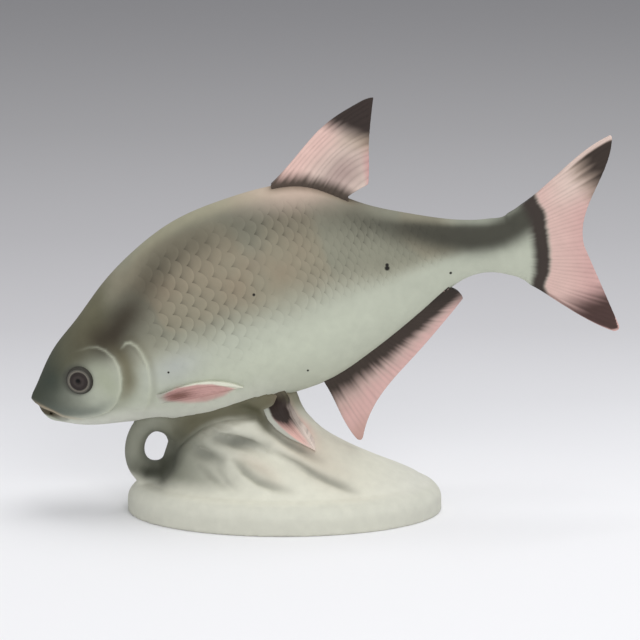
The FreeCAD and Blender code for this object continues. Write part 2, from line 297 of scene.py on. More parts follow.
def floor_material():
    """Matt paper, white in front and deepening to grey behind, by depth in metres."""
    material = bpy.data.materials.new("backdrop paper")
    material.use_nodes = True
    tree = material.node_tree
    place = add_node(tree, "ShaderNodeTexCoord", out=3)
    depth = add_node(tree, "ShaderNodeSeparateXYZ", {0: place}, out=1)
    share = add_node(
        tree, "ShaderNodeMapRange", {"Value": depth, "From Min": 0.0, "From Max": FLOOR_RAMP[-1][0]}
    )
    shade = add_node(tree, "ShaderNodeValToRGB", {0: share})
    ramp = shade.node.color_ramp
    ramp.interpolation = "B_SPLINE"
    for _ in FLOOR_RAMP[2:]:
        ramp.elements.new(0.5)
    for element, (metres, hex_colour) in zip(ramp.elements, FLOOR_RAMP):
        element.position = metres / FLOOR_RAMP[-1][0]
        element.color = paint(hex_colour)
    shader = tree.nodes["Principled BSDF"]
    tree.links.new(shade, shader.inputs["Base Color"])
    shader.inputs["Roughness"].default_value = PAPER_ROUGHNESS
    shader.inputs["Specular IOR Level"].default_value = PAPER_SHEEN
    return material


disc = bmesh.new()
bmesh.ops.create_circle(disc, cap_ends=True, segments=64, radius=FLOOR_RADIUS)
floor = new_piece("floor", disc)
floor.data.materials.append(floor_material())
print("the paper reaches", FLOOR_RADIUS, "m from the figurine")

# %% [markdown]
# ## Scales by rule
#
# The scales are carved in the mould as shallow shields that overlap like roof tiles. They repeat by
# a rule, so one function writes that rule as nodes: two sets of rows lie half a scale apart, each
# rising from front to rear and dropping at a round free edge, and where they overlap the higher one
# shows. The same function serves the Geometry Nodes tree that raises the relief and the material
# that keeps its edges crisp. The material also paints a pale line on each free edge, a painted
# highlight, and a dark line just past it, partly colour gathered in the step and partly painted
# shade. Separate instanced scales would look sharper than a worn mould.

# %% Scale rule
SCALE_LENGTH = 11.0
SCALE_HEIGHT = 8.4
SCALE_RELIEF = 0.40
SCALE_ROUND = 0.60


def scale_field(tree, along, across, length, height):
    """Height of overlapping scales, 0 to 1, from sockets in mm along and across the rows."""
    tops = []
    for offset in (0.0, 0.5):
        row = add_node(tree, "ShaderNodeMath", {0: across, 1: height}, operation="DIVIDE")
        row = add_node(tree, "ShaderNodeMath", {0: row, 1: offset}, operation="ADD")
        row = add_node(tree, "ShaderNodeMath", {0: row}, operation="FRACT")
        off = add_node(tree, "ShaderNodeMath", {0: row, 1: 0.5}, operation="SUBTRACT")
        square = add_node(tree, "ShaderNodeMath", {0: off, 1: off}, operation="MULTIPLY")
        under = add_node(
            tree, "ShaderNodeMath", {0: SCALE_ROUND**2, 1: square}, operation="SUBTRACT"
        )
        edge = add_node(tree, "ShaderNodeMath", {0: under}, operation="SQRT")
        place = add_node(tree, "ShaderNodeMath", {0: along, 1: length}, operation="DIVIDE")
        place = add_node(tree, "ShaderNodeMath", {0: place, 1: offset}, operation="ADD")
        place = add_node(tree, "ShaderNodeMath", {0: place, 1: edge}, operation="SUBTRACT")
        share = add_node(tree, "ShaderNodeMath", {0: place}, operation="FRACT")
        tops.append(add_node(tree, "ShaderNodeMath", {0: edge, 1: share}, operation="ADD"))
    high = add_node(tree, "ShaderNodeMath", {0: tops[0], 1: tops[1]}, operation="MAXIMUM")
    return add_node(
        tree, "ShaderNodeMapRange", {"Value": high, "From Min": 0.85, "From Max": 1.0 + SCALE_ROUND}
    )


print("a scale is", SCALE_LENGTH, "mm long and", SCALE_HEIGHT, "mm high")

# %% [markdown]
# ## Airbrush coats
#
# The colours of bisque are sprayed on as thin coats of stained slip, one over another, so each has
# a soft edge and lets the coat below show. The material does the same: it starts with the colour
# of the clay and mixes one coat after another over it, each through its own mask. The masks are
# vertex attributes that a formula lays down, because a spray follows the form of the fish and not
# a texture map. A little noise makes every coat uneven, most at its edge. Some coats are painted
# light and shade instead of slip: highlights on ridges and rims, and shade under parts and in
# hollows.

# %% Bisque material
BISQUE_ROUGHNESS = 0.68
BISQUE_SHEEN = 0.25
DRIFT_SIZE = 22.0
MOTTLE_SIZE = 6.0
GRAIN_SIZE = 0.6
GRAIN_HEIGHT = 0.05
SPECK_BLACK = "#1d1a16"
EDGE_UNEVEN = 1.6
GATHERED_COLOUR_AND_PAINTED_SHADE = (0.80, 1.02)
MOTTLED = (0.90, 1.09)


def coloured(tree, under, over, amount, blend="MIX"):
    """One colour mixed over another by an amount."""
    return add_node(
        tree,
        "ShaderNodeMix",
        {0: amount, 6: under, 7: over},
        2,
        data_type="RGBA",
        blend_type=blend,
    )


def grey(tree, value, low, high):
    """A value from 0 to 1 as a grey between two levels."""
    level = add_node(tree, "ShaderNodeMapRange", {"Value": value, "To Min": low, "To Max": high})
    return add_node(tree, "ShaderNodeCombineColor", {0: level, 1: level, 2: level})


def bisque(name, clay, coats, shade="relief_high", scaled=False, specks=()):
    """Unglazed porcelain: a clay colour, sprayed coats of (mask, colour, strength), fine grain.

    shade names a mask that is 1 on high places and 0 in low ones, which it darkens: partly
    colour gathered there, partly painted shade.
    specks are iron spots: places along and over the fish's axis, with a radius, in mm."""
    material = bpy.data.materials.new(name)
    material.use_nodes = True
    tree = material.node_tree
    place = add_node(tree, "ShaderNodeTexCoord", out=3)
    drift = add_node(
        tree, "ShaderNodeTexNoise", {"Vector": place, "Scale": 1 / (DRIFT_SIZE * MM), "Detail": 4.0}
    )
    drift = add_node(tree, "ShaderNodeMath", {0: drift, 1: 0.5}, operation="SUBTRACT")
    colour = paint(clay)
    for mask, coat_colour, strength in coats:
        amount = add_node(tree, "ShaderNodeAttribute", out=2, attribute_name=mask)
        bare = add_node(tree, "ShaderNodeMath", {0: 1.0, 1: amount}, operation="SUBTRACT")
        edge = add_node(tree, "ShaderNodeMath", {0: amount, 1: bare}, operation="MULTIPLY")
        edge = add_node(tree, "ShaderNodeMath", {0: edge, 1: drift}, operation="MULTIPLY")
        amount = add_node(
            tree, "ShaderNodeMath", {0: edge, 1: EDGE_UNEVEN, 2: amount}, operation="MULTIPLY_ADD"
        )
        amount = add_node(
            tree, "ShaderNodeMath", {0: amount, 1: strength}, operation="MULTIPLY", use_clamp=True
        )
        colour = coloured(tree, colour, paint(coat_colour), amount)
    grain = add_node(
        tree, "ShaderNodeTexNoise", {"Vector": place, "Scale": 1 / (GRAIN_SIZE * MM), "Detail": 3.0}
    )
    bump = add_node(
        tree,
        "ShaderNodeBump",
        {"Height": grain, "Strength": 0.25, "Distance": GRAIN_HEIGHT * MM},
    )
    if shade:
        high = add_node(tree, "ShaderNodeAttribute", out=2, attribute_name=shade)
        # Low places darker: partly gathered colour, partly painted shade.
        colour = coloured(tree, colour, grey(tree, high, *GATHERED_COLOUR_AND_PAINTED_SHADE), 1.0, "MULTIPLY")
    if scaled:
        along = add_node(tree, "ShaderNodeAttribute", out=2, attribute_name="row_along")
        across = add_node(tree, "ShaderNodeAttribute", out=2, attribute_name="row_across")
        depth = add_node(tree, "ShaderNodeAttribute", out=2, attribute_name="scale_depth")
        field = scale_field(tree, along, across, SCALE_LENGTH, SCALE_HEIGHT)
        # Past each free edge: gathered colour and painted shade; on the edge: a painted highlight.
        for end, power, low, high in ((0.0, 3.5, 1.0, 0.52), (1.0, 9.0, 1.0, 1.16)):
            line = add_node(tree, "ShaderNodeMath", {0: field, 1: 1.0 - end}, operation="SUBTRACT")
            line = add_node(tree, "ShaderNodeMath", {0: line}, operation="ABSOLUTE")
            line = add_node(tree, "ShaderNodeMath", {0: line, 1: power}, operation="POWER")
            line = add_node(tree, "ShaderNodeMath", {0: line, 1: depth}, operation="MULTIPLY")
            colour = coloured(tree, colour, grey(tree, line, low, high), 1.0, "MULTIPLY")
        raised = add_node(tree, "ShaderNodeMath", {0: field, 1: depth}, operation="MULTIPLY")
        bump = add_node(
            tree,
            "ShaderNodeBump",
            {"Height": raised, "Strength": 1.0, "Distance": SCALE_RELIEF * MM, "Normal": bump},
        )
    if specks:
        back = add_node(tree, "ShaderNodeAttribute", out=2, attribute_name="axis_back")
        height = add_node(tree, "ShaderNodeAttribute", out=2, attribute_name="axis_height")
        left = add_node(tree, "ShaderNodeAttribute", out=2, attribute_name="left_side")
        here = add_node(tree, "ShaderNodeCombineXYZ", {0: back, 1: height})
        for u, v, radius in specks:
            far = add_node(
                tree, "ShaderNodeVectorMath", {0: here, 1: (u, v, 0)}, 1, operation="DISTANCE"
            )
            stain = add_node(
                tree,
                "ShaderNodeMapRange",
                {"Value": far, "From Min": radius * 1.35, "From Max": radius * 0.75},
            )
            stain = add_node(tree, "ShaderNodeMath", {0: stain, 1: left}, operation="MULTIPLY")
            colour = coloured(tree, colour, paint(SPECK_BLACK), stain)
    mottle = add_node(
        tree,
        "ShaderNodeTexNoise",
        {"Vector": place, "Scale": 1 / (MOTTLE_SIZE * MM), "Detail": 6.0},
    )
    colour = coloured(tree, colour, grey(tree, mottle, *MOTTLED), 1.0, "MULTIPLY")
    shader = tree.nodes["Principled BSDF"]
    tree.links.new(colour, shader.inputs["Base Color"])
    tree.links.new(bump, shader.inputs["Normal"])
    shader.inputs["Roughness"].default_value = BISQUE_ROUGHNESS
    shader.inputs["Specular IOR Level"].default_value = BISQUE_SHEEN
    return material


print("bisque has a roughness of", BISQUE_ROUGHNESS, "and a grain of", GRAIN_SIZE, "mm")

# %% [markdown]
# ## The body
#
# The body casting is hollow, and only its outside shows, so the inside is left off the copy. The
# search starts at the snout and stops at the rim of the vent, the only way in.

# %% Body skin
VENT_X = -35.0
VENT_RADIUS = 1.6
BODY_GRAIN = 0.87


def outside_only(clay):
    """Keeps the outside of the hollow body: what the snout reaches without passing the vent."""
    near = (VENT_RADIUS + 0.05) * MM
    at_vent = {
        vertex for vertex in clay.verts if math.hypot(vertex.co.x - VENT_X * MM, vertex.co.y) < near
    }
    snout = min(clay.verts, key=lambda vertex: vertex.co.x)
    reached = {snout.link_faces[0]}
    edge_of_search = [snout.link_faces[0]]
    while edge_of_search:
        face = edge_of_search.pop()
        for edge in face.edges:
            if edge.verts[0] in at_vent and edge.verts[1] in at_vent:
                continue
            for other in edge.link_faces:
                if other not in reached:
                    reached.add(other)
                    edge_of_search.append(other)
    inside = [face for face in clay.faces if face not in reached]
    bmesh.ops.delete(clay, geom=inside, context="FACES")
    bmesh.ops.holes_fill(clay, edges=[edge for edge in clay.edges if edge.is_boundary])


body_clay = merged_copy("body_shell")
outside_only(body_clay)
lap_clay = body_clay.copy()
body = new_piece("fish_body", body_clay)
refine(body, BODY_GRAIN, rubs=2)

# %% [markdown]
# ### Where a point lies on the fish
#
# Most coats follow the same two measures: how far back from the snout a point lies, and how high
# it lies between belly and back. The outline of the belly and the back is measured on the mesh
# itself, in slices, so these coats still fit when the body becomes higher or lower.

# %% Measures of the body
SLICE = 2.0


def world_from_fish(u, v, y):
    """The place, in metres, of a point along and over the fish's axis, in mm."""
    x = SNOUT_X + u * math.cos(SLOPE) - v * math.sin(SLOPE)
    z = SNOUT_Z + u * math.sin(SLOPE) + v * math.cos(SLOPE)
    return Vector((x, y, z)) * MM


def measure_outline(u, v):
    """Back and belly heights over the slices along the fish."""
    slot = np.round(u / SLICE).astype(int).clip(0)
    top = np.full(slot.max() + 1, -1e9)
    low = np.full(slot.max() + 1, 1e9)
    np.maximum.at(top, slot, v)
    np.minimum.at(low, slot, v)
    return np.arange(len(top)) * SLICE, top, low


stations, back_line, belly_line = measure_outline(*along_fish(read_points(body.data)))


def share_up(u, v):
    """0 on the belly, 1 on the back, by the outline at that station."""
    top = np.interp(u, stations, back_line)
    low = np.interp(u, stations, belly_line)
    return (v - low) / (top - low)


def value_noise(a, b, size, seed):
    """Smooth random numbers from -1 to 1 over a plane, about one swell per size."""
    table = np.random.default_rng(seed).random((64, 64)) * 2 - 1
    i, j = np.floor(a / size).astype(int), np.floor(b / size).astype(int)
    fa, fb = a / size - i, b / size - j
    fa, fb = fa * fa * (3 - 2 * fa), fb * fb * (3 - 2 * fb)
    near = table[i % 64, j % 64] * (1 - fa) + table[(i + 1) % 64, j % 64] * fa
    far = table[i % 64, (j + 1) % 64] * (1 - fa) + table[(i + 1) % 64, (j + 1) % 64] * fa
    return near * (1 - fb) + far * fb


print("the fish is", int(stations[-1]), "mm long without its tail")

# %% [markdown]
# ### Gill covers
#
# The cheek and the gill cover are plates that lie over what is behind them. Each has a rounded rim
# and a step down behind it. The casting has both steps, but without the raised rims, so they are
# rubbed away first and cut again with paths given along and over the axis. The end of the peduncle
# is sunk a little at the same time, because the clay of the tail will lap over it.

# %% Carving the head
CHEEK_RIM = [(33, 20, 0.0), (42, 20.6, 0.4), (47, 19.6, 0.7), (51, 16.6, 0.9), (54.3, 11, 1)]
CHEEK_RIM += [(55.2, 5, 1), (54.2, -1.5, 1), (51.6, -8, 1), (47, -14.6, 1), (41, -18.9, 0.9)]
CHEEK_RIM += [(34, -20, 0.7), (25, -19.4, 0.4), (18, -17.6, 0.1)]
GILL_RIM = [(59.4, 15.6, 0.3), (62.2, 17.4, 1), (65.4, 17, 0.9), (68.4, 13.6, 0.7)]
GILL_RIM += [(70, 8.5, 0.7), (70.4, 2, 0.7), (69.4, -6, 0.6), (67, -13.6, 0.5), (63.4, -20.4, 0.4)]
GILL_RIM += [(58, -26.4, 0.1)]
GILL_FOLD = [(63.4, 14.6, 0.2), (65.6, 10.6, 1), (67.2, 6, 1), (68.2, 0, 1), (67.8, -6, 0.3)]
UPPER_LIP = [(0.7, -1.8, 0.3), (5.1, -5.7, 0.9), (10, -9.7, 1), (14.4, -14, 0.8), (24, -19, 0.3)]
JAW = [(4.4, -6.3, 1), (10, -9.7, 1), (14.6, -14.4, 0.5)]
EYE_PLACE = (31.2, 4.0)
HEAD_RUBS = 45
TAIL_LAP = 262.0
LAP_SINK = 0.5


def sponge(piece, weights, passes):
    """Rubs a piece smooth where its weights are high."""
    group = piece.vertex_groups.new(name="sponged")
    for index in np.flatnonzero(weights > 0.02):
        group.add([int(index)], float(weights[index]), "REPLACE")
    rub = piece.modifiers.new("Sponge", "SMOOTH")
    rub.factor = 0.5
    rub.iterations = passes
    rub.vertex_group = group.name
    settle(piece)


def plate_edge(u, v, rim, lip, step):
    """A raised lip in front of a rim, and a step down behind it that runs out."""
    distance, strength = near_path(u, v, rim)
    raised = lip * np.exp(-(((distance + 1.2) / 1.1) ** 2))
    fallen = step * smooth(-0.7, 0.7, distance) * np.exp(-np.maximum(distance, 0) / 4.5)
    return strength * (raised - fallen)


def skin_of(piece):
    """A search tree over the faces of a piece, which finds where its surface lies."""
    mesh = piece.data
    corners = [vertex.co for vertex in mesh.vertices]
    return BVHTree.FromPolygons(corners, [polygon.vertices for polygon in mesh.polygons])


points = read_points(body.data)
u, v = along_fish(points)
eye_far = np.hypot(u - EYE_PLACE[0], v - EYE_PLACE[1])
gills = smooth(34, 42, u) * (1 - smooth(74, 80, u)) * smooth(-30, -22, v) * (1 - smooth(24, 30, v))
mouth = np.minimum(1, 1.5 * stroke(u, v, JAW, 2.2))
sponge(body, np.maximum(np.maximum(gills, 1 - smooth(10, 13, eye_far)), mouth), HEAD_RUBS)
points = read_points(body.data)
normals = read_normals(body.data)
u, v = along_fish(points)
flank = smooth(0.15, 0.5, np.abs(normals[:, 1]))
carved = plate_edge(u, v, CHEEK_RIM, 0.25, 0.85) + plate_edge(u, v, GILL_RIM, 0.5, 0.9)
carved -= stroke(u, v, GILL_FOLD, 0.9) * 0.45
carved += stroke(u, v, UPPER_LIP, 0.9) * 0.25 - stroke(u, v + 1.2, JAW, 1.0) * 0.4
carved *= flank
print("the head is carved up to", round(float(-carved.min()), 2), "mm deep")
carved -= LAP_SINK * smooth(TAIL_LAP + 2, TAIL_LAP + 8, u)
write_points(body.data, points + normals * carved[:, None] * MM)
body_skin = skin_of(body)

# %% [markdown]
# ### Relief by Geometry Nodes
#
# A relief tree lowers points along their normals by a depth that it works out, and stores how high
# each point came to lie, so that the material can darken the low places, partly as colour gathered
# there and partly as painted shade. The scales and the fin rays each get such a tree, with their
# sizes as named inputs.

# %% Relief trees
def relief_tree(name, sizes):
    """An empty Geometry Nodes tree with named inputs: a geometry, a material and some sizes."""
    tree = bpy.data.node_groups.new(name, "GeometryNodeTree")
    tree.interface.new_socket("Geometry", in_out="INPUT", socket_type="NodeSocketGeometry")
    tree.interface.new_socket("Material", in_out="INPUT", socket_type="NodeSocketMaterial")
    for size in sizes:
        tree.interface.new_socket(size, in_out="INPUT", socket_type="NodeSocketFloat")
    tree.interface.new_socket("Geometry", in_out="OUTPUT", socket_type="NodeSocketGeometry")
    return tree, tree.nodes.new("NodeGroupInput")


def raise_relief(tree, entry, below, depth, size):
    """Lowers points by below (0 to -1) times depth times a size in mm, and ends the tree."""
    sunk = add_node(tree, "ShaderNodeMath", {0: below, 1: depth}, operation="MULTIPLY")
    height = add_node(tree, "ShaderNodeMath", {0: sunk, 1: size}, operation="MULTIPLY")
    metres = add_node(tree, "ShaderNodeMath", {0: height, 1: MM}, operation="MULTIPLY")
    normal = add_node(tree, "GeometryNodeInputNormal")
    offset = add_node(tree, "ShaderNodeVectorMath", {0: normal, "Scale": metres}, operation="SCALE")
    moved = add_node(
        tree, "GeometryNodeSetPosition", {"Geometry": entry.outputs["Geometry"], "Offset": offset}
    )
    high = add_node(tree, "ShaderNodeMath", {0: sunk, 1: 1.0}, operation="ADD")
    stored = add_node(
        tree,
        "GeometryNodeStoreNamedAttribute",
        {"Geometry": moved, "Name": "relief_high", "Value": high},
        data_type="FLOAT",
        domain="POINT",
    )
    real = add_node(tree, "GeometryNodeRealizeInstances", {"Geometry": stored})
    dressed = add_node(
        tree,
        "GeometryNodeSetMaterial",
        {"Geometry": real, "Material": entry.outputs["Material"]},
    )
    tree.links.new(dressed, tree.nodes.new("NodeGroupOutput").inputs["Geometry"])


def run_tree(piece, tree, material, sizes):
    """Runs a relief tree on a piece with its inputs set, and keeps the result as a plain mesh."""
    modifier = piece.modifiers.new(tree.name, "NODES")
    modifier.node_group = tree
    for item in tree.interface.items_tree:
        if item.in_out == "INPUT" and item.name in sizes:
            modifier[item.identifier] = sizes[item.name]
        if item.in_out == "INPUT" and item.name == "Material":
            modifier[item.identifier] = material
    settle(piece)


scales, entry = relief_tree("Scale relief", ("Scale length", "Scale height", "Relief"))
along = add_node(scales, "GeometryNodeInputNamedAttribute", {"Name": "row_along"})
across = add_node(scales, "GeometryNodeInputNamedAttribute", {"Name": "row_across"})
depth = add_node(scales, "GeometryNodeInputNamedAttribute", {"Name": "scale_depth"})
field = scale_field(
    scales, along, across, entry.outputs["Scale length"], entry.outputs["Scale height"]
)
below = add_node(scales, "ShaderNodeMath", {0: field, 1: 1.0}, operation="SUBTRACT")
raise_relief(scales, entry, below, depth, entry.outputs["Relief"])

rays, entry = relief_tree("Fin rays", ("Groove depth",))
number = add_node(rays, "GeometryNodeInputNamedAttribute", {"Name": "ray"})
depth = add_node(rays, "GeometryNodeInputNamedAttribute", {"Name": "ray_depth"})
turn = add_node(rays, "ShaderNodeMath", {0: number, 1: math.pi}, operation="MULTIPLY")
wave = add_node(rays, "ShaderNodeMath", {0: turn}, operation="SINE")
wave = add_node(rays, "ShaderNodeMath", {0: wave}, operation="ABSOLUTE")
crest = add_node(rays, "ShaderNodeMath", {0: wave, 1: 0.6}, operation="POWER")
below = add_node(rays, "ShaderNodeMath", {0: crest, 1: 1.0}, operation="SUBTRACT")
raise_relief(rays, entry, below, depth, entry.outputs["Groove depth"])
print("scale tree has", len(scales.nodes), "nodes, ray tree has", len(rays.nodes))

# %% [markdown]
# ### Where the scales lie
#
# The rows bend with the middle line of the fish and draw together towards the tail, and the relief
# fades on the head, the back ridge and the belly, where the mould is smooth.

# %% Rows of scales
points = read_points(body.data)
u, v = along_fish(points)
share = share_up(u, v)
middle = (np.interp(u, stations, back_line) + np.interp(u, stations, belly_line)) / 2
shrink = 1.0 + 0.35 * smooth(150, 262, u)
row_along = u * shrink + 1.9 * value_noise(u, v, size=14, seed=3)
row_across = (v - 0.6 * middle) * shrink + 1.5 * value_noise(u, v, size=17, seed=4)
upper = smooth(0.34, 0.50, share) * (1 - smooth(0.84, 0.95, share))
lower = 0.35 * smooth(0.05, 0.16, share) * (1 - smooth(0.34, 0.50, share))
lower = lower * (1 - smooth(110, 170, u))
lengthwise = smooth(70, 88, u) * (1 - smooth(226, 256, u))
patches = np.clip(0.72 + 0.75 * value_noise(u, v, size=17, seed=5), 0.1, 1.2)
scale_depth = (upper + lower) * lengthwise * patches
rows = {"row_along": row_along, "row_across": row_across, "scale_depth": scale_depth}
coat(body.data, rows)
coat(body.data, {"axis_back": u, "axis_height": v, "left_side": points[:, 1] < 0})
print("scales cover", round(100 * float((scale_depth > 0.2).mean())), "percent of the body")

# %% [markdown]
# ### Coats of the body
#
# The clay is celadon. An olive coat covers the upper flank, a darker stroke follows the back and
# runs down to the nape over the gill cover, and the head is sprayed grey-green from the snout. The
# peduncle is dark on top, and a breath of pink lies under the dorsal fin. Light and shade are
# painted in as well: a painted highlight along the ridge of the back, on the plate rims and on the
# ridge of the peduncle, painted light thrown up onto the belly, a painted shadow under the dorsal
# fin and painted shade in the halo round the eye. The same coats are laid on the root of the tail,
# so that the colour runs across the joint.

# %% Body coats
BACK_STROKE = [(40, 20, 0.5), (48, 21, 0.9), (57, 22.5, 1), (68, 31, 0.95), (80, 41, 0.7)]
BACK_STROKE += [(95, 53, 0.55), (110, 58, 0.5), (140, 60, 0.45), (186, 50, 0.4), (204, 43, 0.4)]
PEDUNCLE_STROKE = [(190, 46, 0.2), (204, 41, 0.5), (215, 34, 0.7), (230, 26, 0.85)]
PEDUNCLE_STROKE += [(245, 17.5, 0.95), (258, 11.5, 1), (268, 9, 1), (278, 9, 1), (290, 12, 1)]
CHEEK_SHADOW = [(10, -8, 0.5), (17, -12, 0.9), (25, -14.5, 1), (34, -15.6, 0.9), (43, -13, 0.4)]
PECTORAL_TOP = [(68, -19.4), (74, -16.6), (81, -15.4), (92, -16.8), (100, -19.3), (111, -26.4)]
PECTORAL_LOW = [(68, -20), (76, -23.7), (83, -26.7), (93, -29.4), (103, -29.2), (111, -26.6)]
CELADON = "#b6baaa"
BODY_COATS = [
    ("flank_light", "#c4c9b7", 0.8),
    ("flank_blue", "#b4b8b4", 0.7),
    ("upper_olive", "#918d7a", 1.0),
    ("taupe", "#94846f", 0.7),
    ("green_patch", "#84887a", 0.5),
    ("crown_olive", "#68654f", 0.95),
    ("head_green", "#3f443a", 0.95),
    ("cheek_pale", "#a3a892", 0.8),
    ("cheek_shadow", "#6a7169", 0.65),
    ("snout_shadow", "#39413a", 0.6),
    ("gill_olive", "#716c55", 0.9),
    # Painted highlight along the ridge of the back.
    ("ridge_painted_highlight", "#aaa68d", 0.7),
    ("back_dark", "#383126", 0.97),
    # Dark top of the peduncle, thinned on its ridge as a painted highlight.
    ("peduncle_dark_and_painted_highlight", "#3c3b32", 0.97),
    ("dorsal_blush", "#c9b1a2", 0.8),
    # Painted shadow on the body under the root of the dorsal fin.
    ("dorsal_root_painted_shadow", "#6a5a49", 0.8),
    # Painted light thrown up from below onto the belly.
    ("belly_painted_bounce_light", "#dcdcd2", 0.75),
    # Painted highlight on the rims of the cheek and gill plates.
    ("rims_painted_highlight", "#c9ccb7", 0.6),
    # Dark halo round the eye: its painted surround, with painted shade of the groove.
    ("eye_halo_and_painted_shade", "#474840", 0.8),
    ("lip_pale", "#c0ae94", 0.7),
    ("jaw_dark", "#4b4331", 0.95),
    ("pectoral_pink", "#c59d97", 0.9),
]


def lay_body_coats(mesh, u, v):
    """The masks of all the coats that the body and the root of the tail share."""
    share = share_up(u, v)
    cheek_far, cheek = near_path(u, v, CHEEK_RIM)
    gill_far, gill = near_path(u, v, GILL_RIM)
    jaw_far, jaw = near_path(u, v, JAW)
    behind_cheek = np.exp(-(((cheek_far - 3.4) / 5.5) ** 2)) * cheek * smooth(-0.7, 0.9, cheek_far)
    behind_gill = np.exp(-(((gill_far - 1.4) / 2.2) ** 2)) * gill * smooth(-0.5, 0.9, gill_far)
    # The rims get a painted highlight, strongest on the gill rim.
    rims = 0.7 * np.exp(-(((cheek_far + 0.8) / 0.6) ** 2)) * cheek
    rims = np.maximum(rims, np.exp(-(((gill_far + 0.8) / 0.7) ** 2)) * gill)
    over_back = v - np.interp(u, stations, back_line)
    under_dorsal = smooth(157, 166, u) * (1 - smooth(199, 206, u))
    clouds = 0.7 + 0.4 * value_noise(u, v, size=13, seed=8)
    green = smooth(0.5, 0.9, value_noise(u, v, size=24, seed=9) + 0.7)
    masks = {
        "flank_light": spot(u, v, 150, -14, 66, 13, 4),
        "flank_blue": spot(u, v, 84, -4, 14, 9, 8),
        "upper_olive": smooth(0.34, 0.58, share) * smooth(40, 74, u) * (1 - smooth(240, 266, u)),
        "taupe": spot(u, v, 126, 36, 66, 20, -4) * clouds,
        "green_patch": green * smooth(0.4, 0.6, share),
        "crown_olive": smooth(0.50, 0.78, share) * (1 - smooth(50, 75, u)),
        "head_green": (1 - smooth(8, 46, u)) * smooth(0.08, 0.26, share),
        "cheek_pale": spot(u, v, 45.5, -1, 6.5, 13, 12),
        "cheek_shadow": stroke(u, v, CHEEK_SHADOW, 3.6),
        "snout_shadow": spot(u, v, 15.4, 7.1, 6.5, 5, 30),
        "gill_olive": np.maximum(behind_cheek * smooth(-22, -4, v), 0.4 * behind_gill),
        # Painted highlight along the ridge of the back.
        "ridge_painted_highlight": smooth(0.93, 0.985, share) * smooth(60, 100, u) * (1 - smooth(190, 215, u)),
        "back_dark": stroke(u, v, BACK_STROKE, 11.0),
        # Dark top of the peduncle, thinned on its ridge as a painted highlight.
        "peduncle_dark_and_painted_highlight": smooth(0.0, 0.95, stroke(u, v, PEDUNCLE_STROKE, 10.5))
        * (1 - 0.5 * smooth(0.86, 0.97, share) * (1 - smooth(262, 284, u))),
        "dorsal_blush": spot(u, v, 176, 66, 32, 9, -14),
        # Painted shadow on the body under the root of the dorsal fin.
        "dorsal_root_painted_shadow": (1 - smooth(0, 5, -over_back)) * under_dorsal,
        # Painted light thrown up from below onto the belly.
        "belly_painted_bounce_light": (1 - smooth(0.02, 0.20, share)) * smooth(9, 16, u) * (1 - smooth(90, 150, u)),
        # Painted highlight on the rims of the cheek and gill plates.
        "rims_painted_highlight": rims * (1 - smooth(0.75, 0.92, share)),
        # Dark halo round the eye: its painted surround, with painted shade of the groove.
        "eye_halo_and_painted_shade": 1 - smooth(6.6, 10.2, np.hypot(u - EYE_PLACE[0] + 0.8, v - EYE_PLACE[1] - 0.5)),
        "lip_pale": stroke(u, v, UPPER_LIP, 0.9),
        "jaw_dark": jaw * smooth(0.1, 0.7, -jaw_far) * (1 - smooth(2.6, 4.6, -jaw_far)),
        "pectoral_pink": pectoral_blade(u, v),
    }
    coat(mesh, masks)


def pectoral_blade(u, v):
    """The pink of the pectoral fin, sprayed over the fin and a little past its lower edge."""
    under = -near_path(u, v, [(*place, 1) for place in PECTORAL_TOP])[0]
    above = near_path(u, v, [(*place, 1) for place in PECTORAL_LOW])[0]
    return smooth(-0.4, 0.9, under) * smooth(-1.2, 1.6, above) * smooth(69, 76, u)


IRON_SPECKS = [(209.8, 10.7, 1.25), (210.3, 12.4, 0.9), (137.2, 20.9, 0.75), (151.2, -30.2, 0.6)]
IRON_SPECKS += [(241.7, -3.8, 0.7), (79.4, -5.9, 0.6)]
lay_body_coats(body.data, u, v)
body_bisque = bisque(
    "body bisque, sprayed", CELADON, BODY_COATS, scaled=True, shade=None, specks=IRON_SPECKS
)
run_tree(
    body,
    scales,
    body_bisque,
    {"Scale length": SCALE_LENGTH, "Scale height": SCALE_HEIGHT, "Relief": SCALE_RELIEF},
)
print("the body has", len(BODY_COATS), "coats and", len(IRON_SPECKS), "iron specks")

# %% [markdown]
# ## The eyes
#
# Each eye is pressed into the mould as a low disc: two fine rims and a domed iris with a dimple for
# the pupil. It is a turned shape, so it is made by spinning a profile, which keeps its rings
# sharper than the remeshed head could. It sits over the place of the casting's eye, and faces the
# same way, a little forwards.

# %% Eyes
EYE_TURN = math.radians(15.0)
EYE_RISE = 0.25
EYE_BACK = -3.0
EYE_PROFILE = [(0.0, 0.7), (0.8, 0.65), (1.3, 1.0), (2.2, 1.05), (3.4, 0.95), (4.5, 0.7)]
EYE_PROFILE += [(5.0, 0.45), (5.35, 0.62), (5.65, 0.8), (5.95, 0.62), (6.35, 0.5), (6.7, 0.6)]
EYE_PROFILE += [(6.95, 0.5), (7.2, 0.15), (7.5, -0.4), (7.6, EYE_BACK), (0.0, EYE_BACK)]
EYE_STEPS = 72
PUPIL = (-0.3, 0.4)


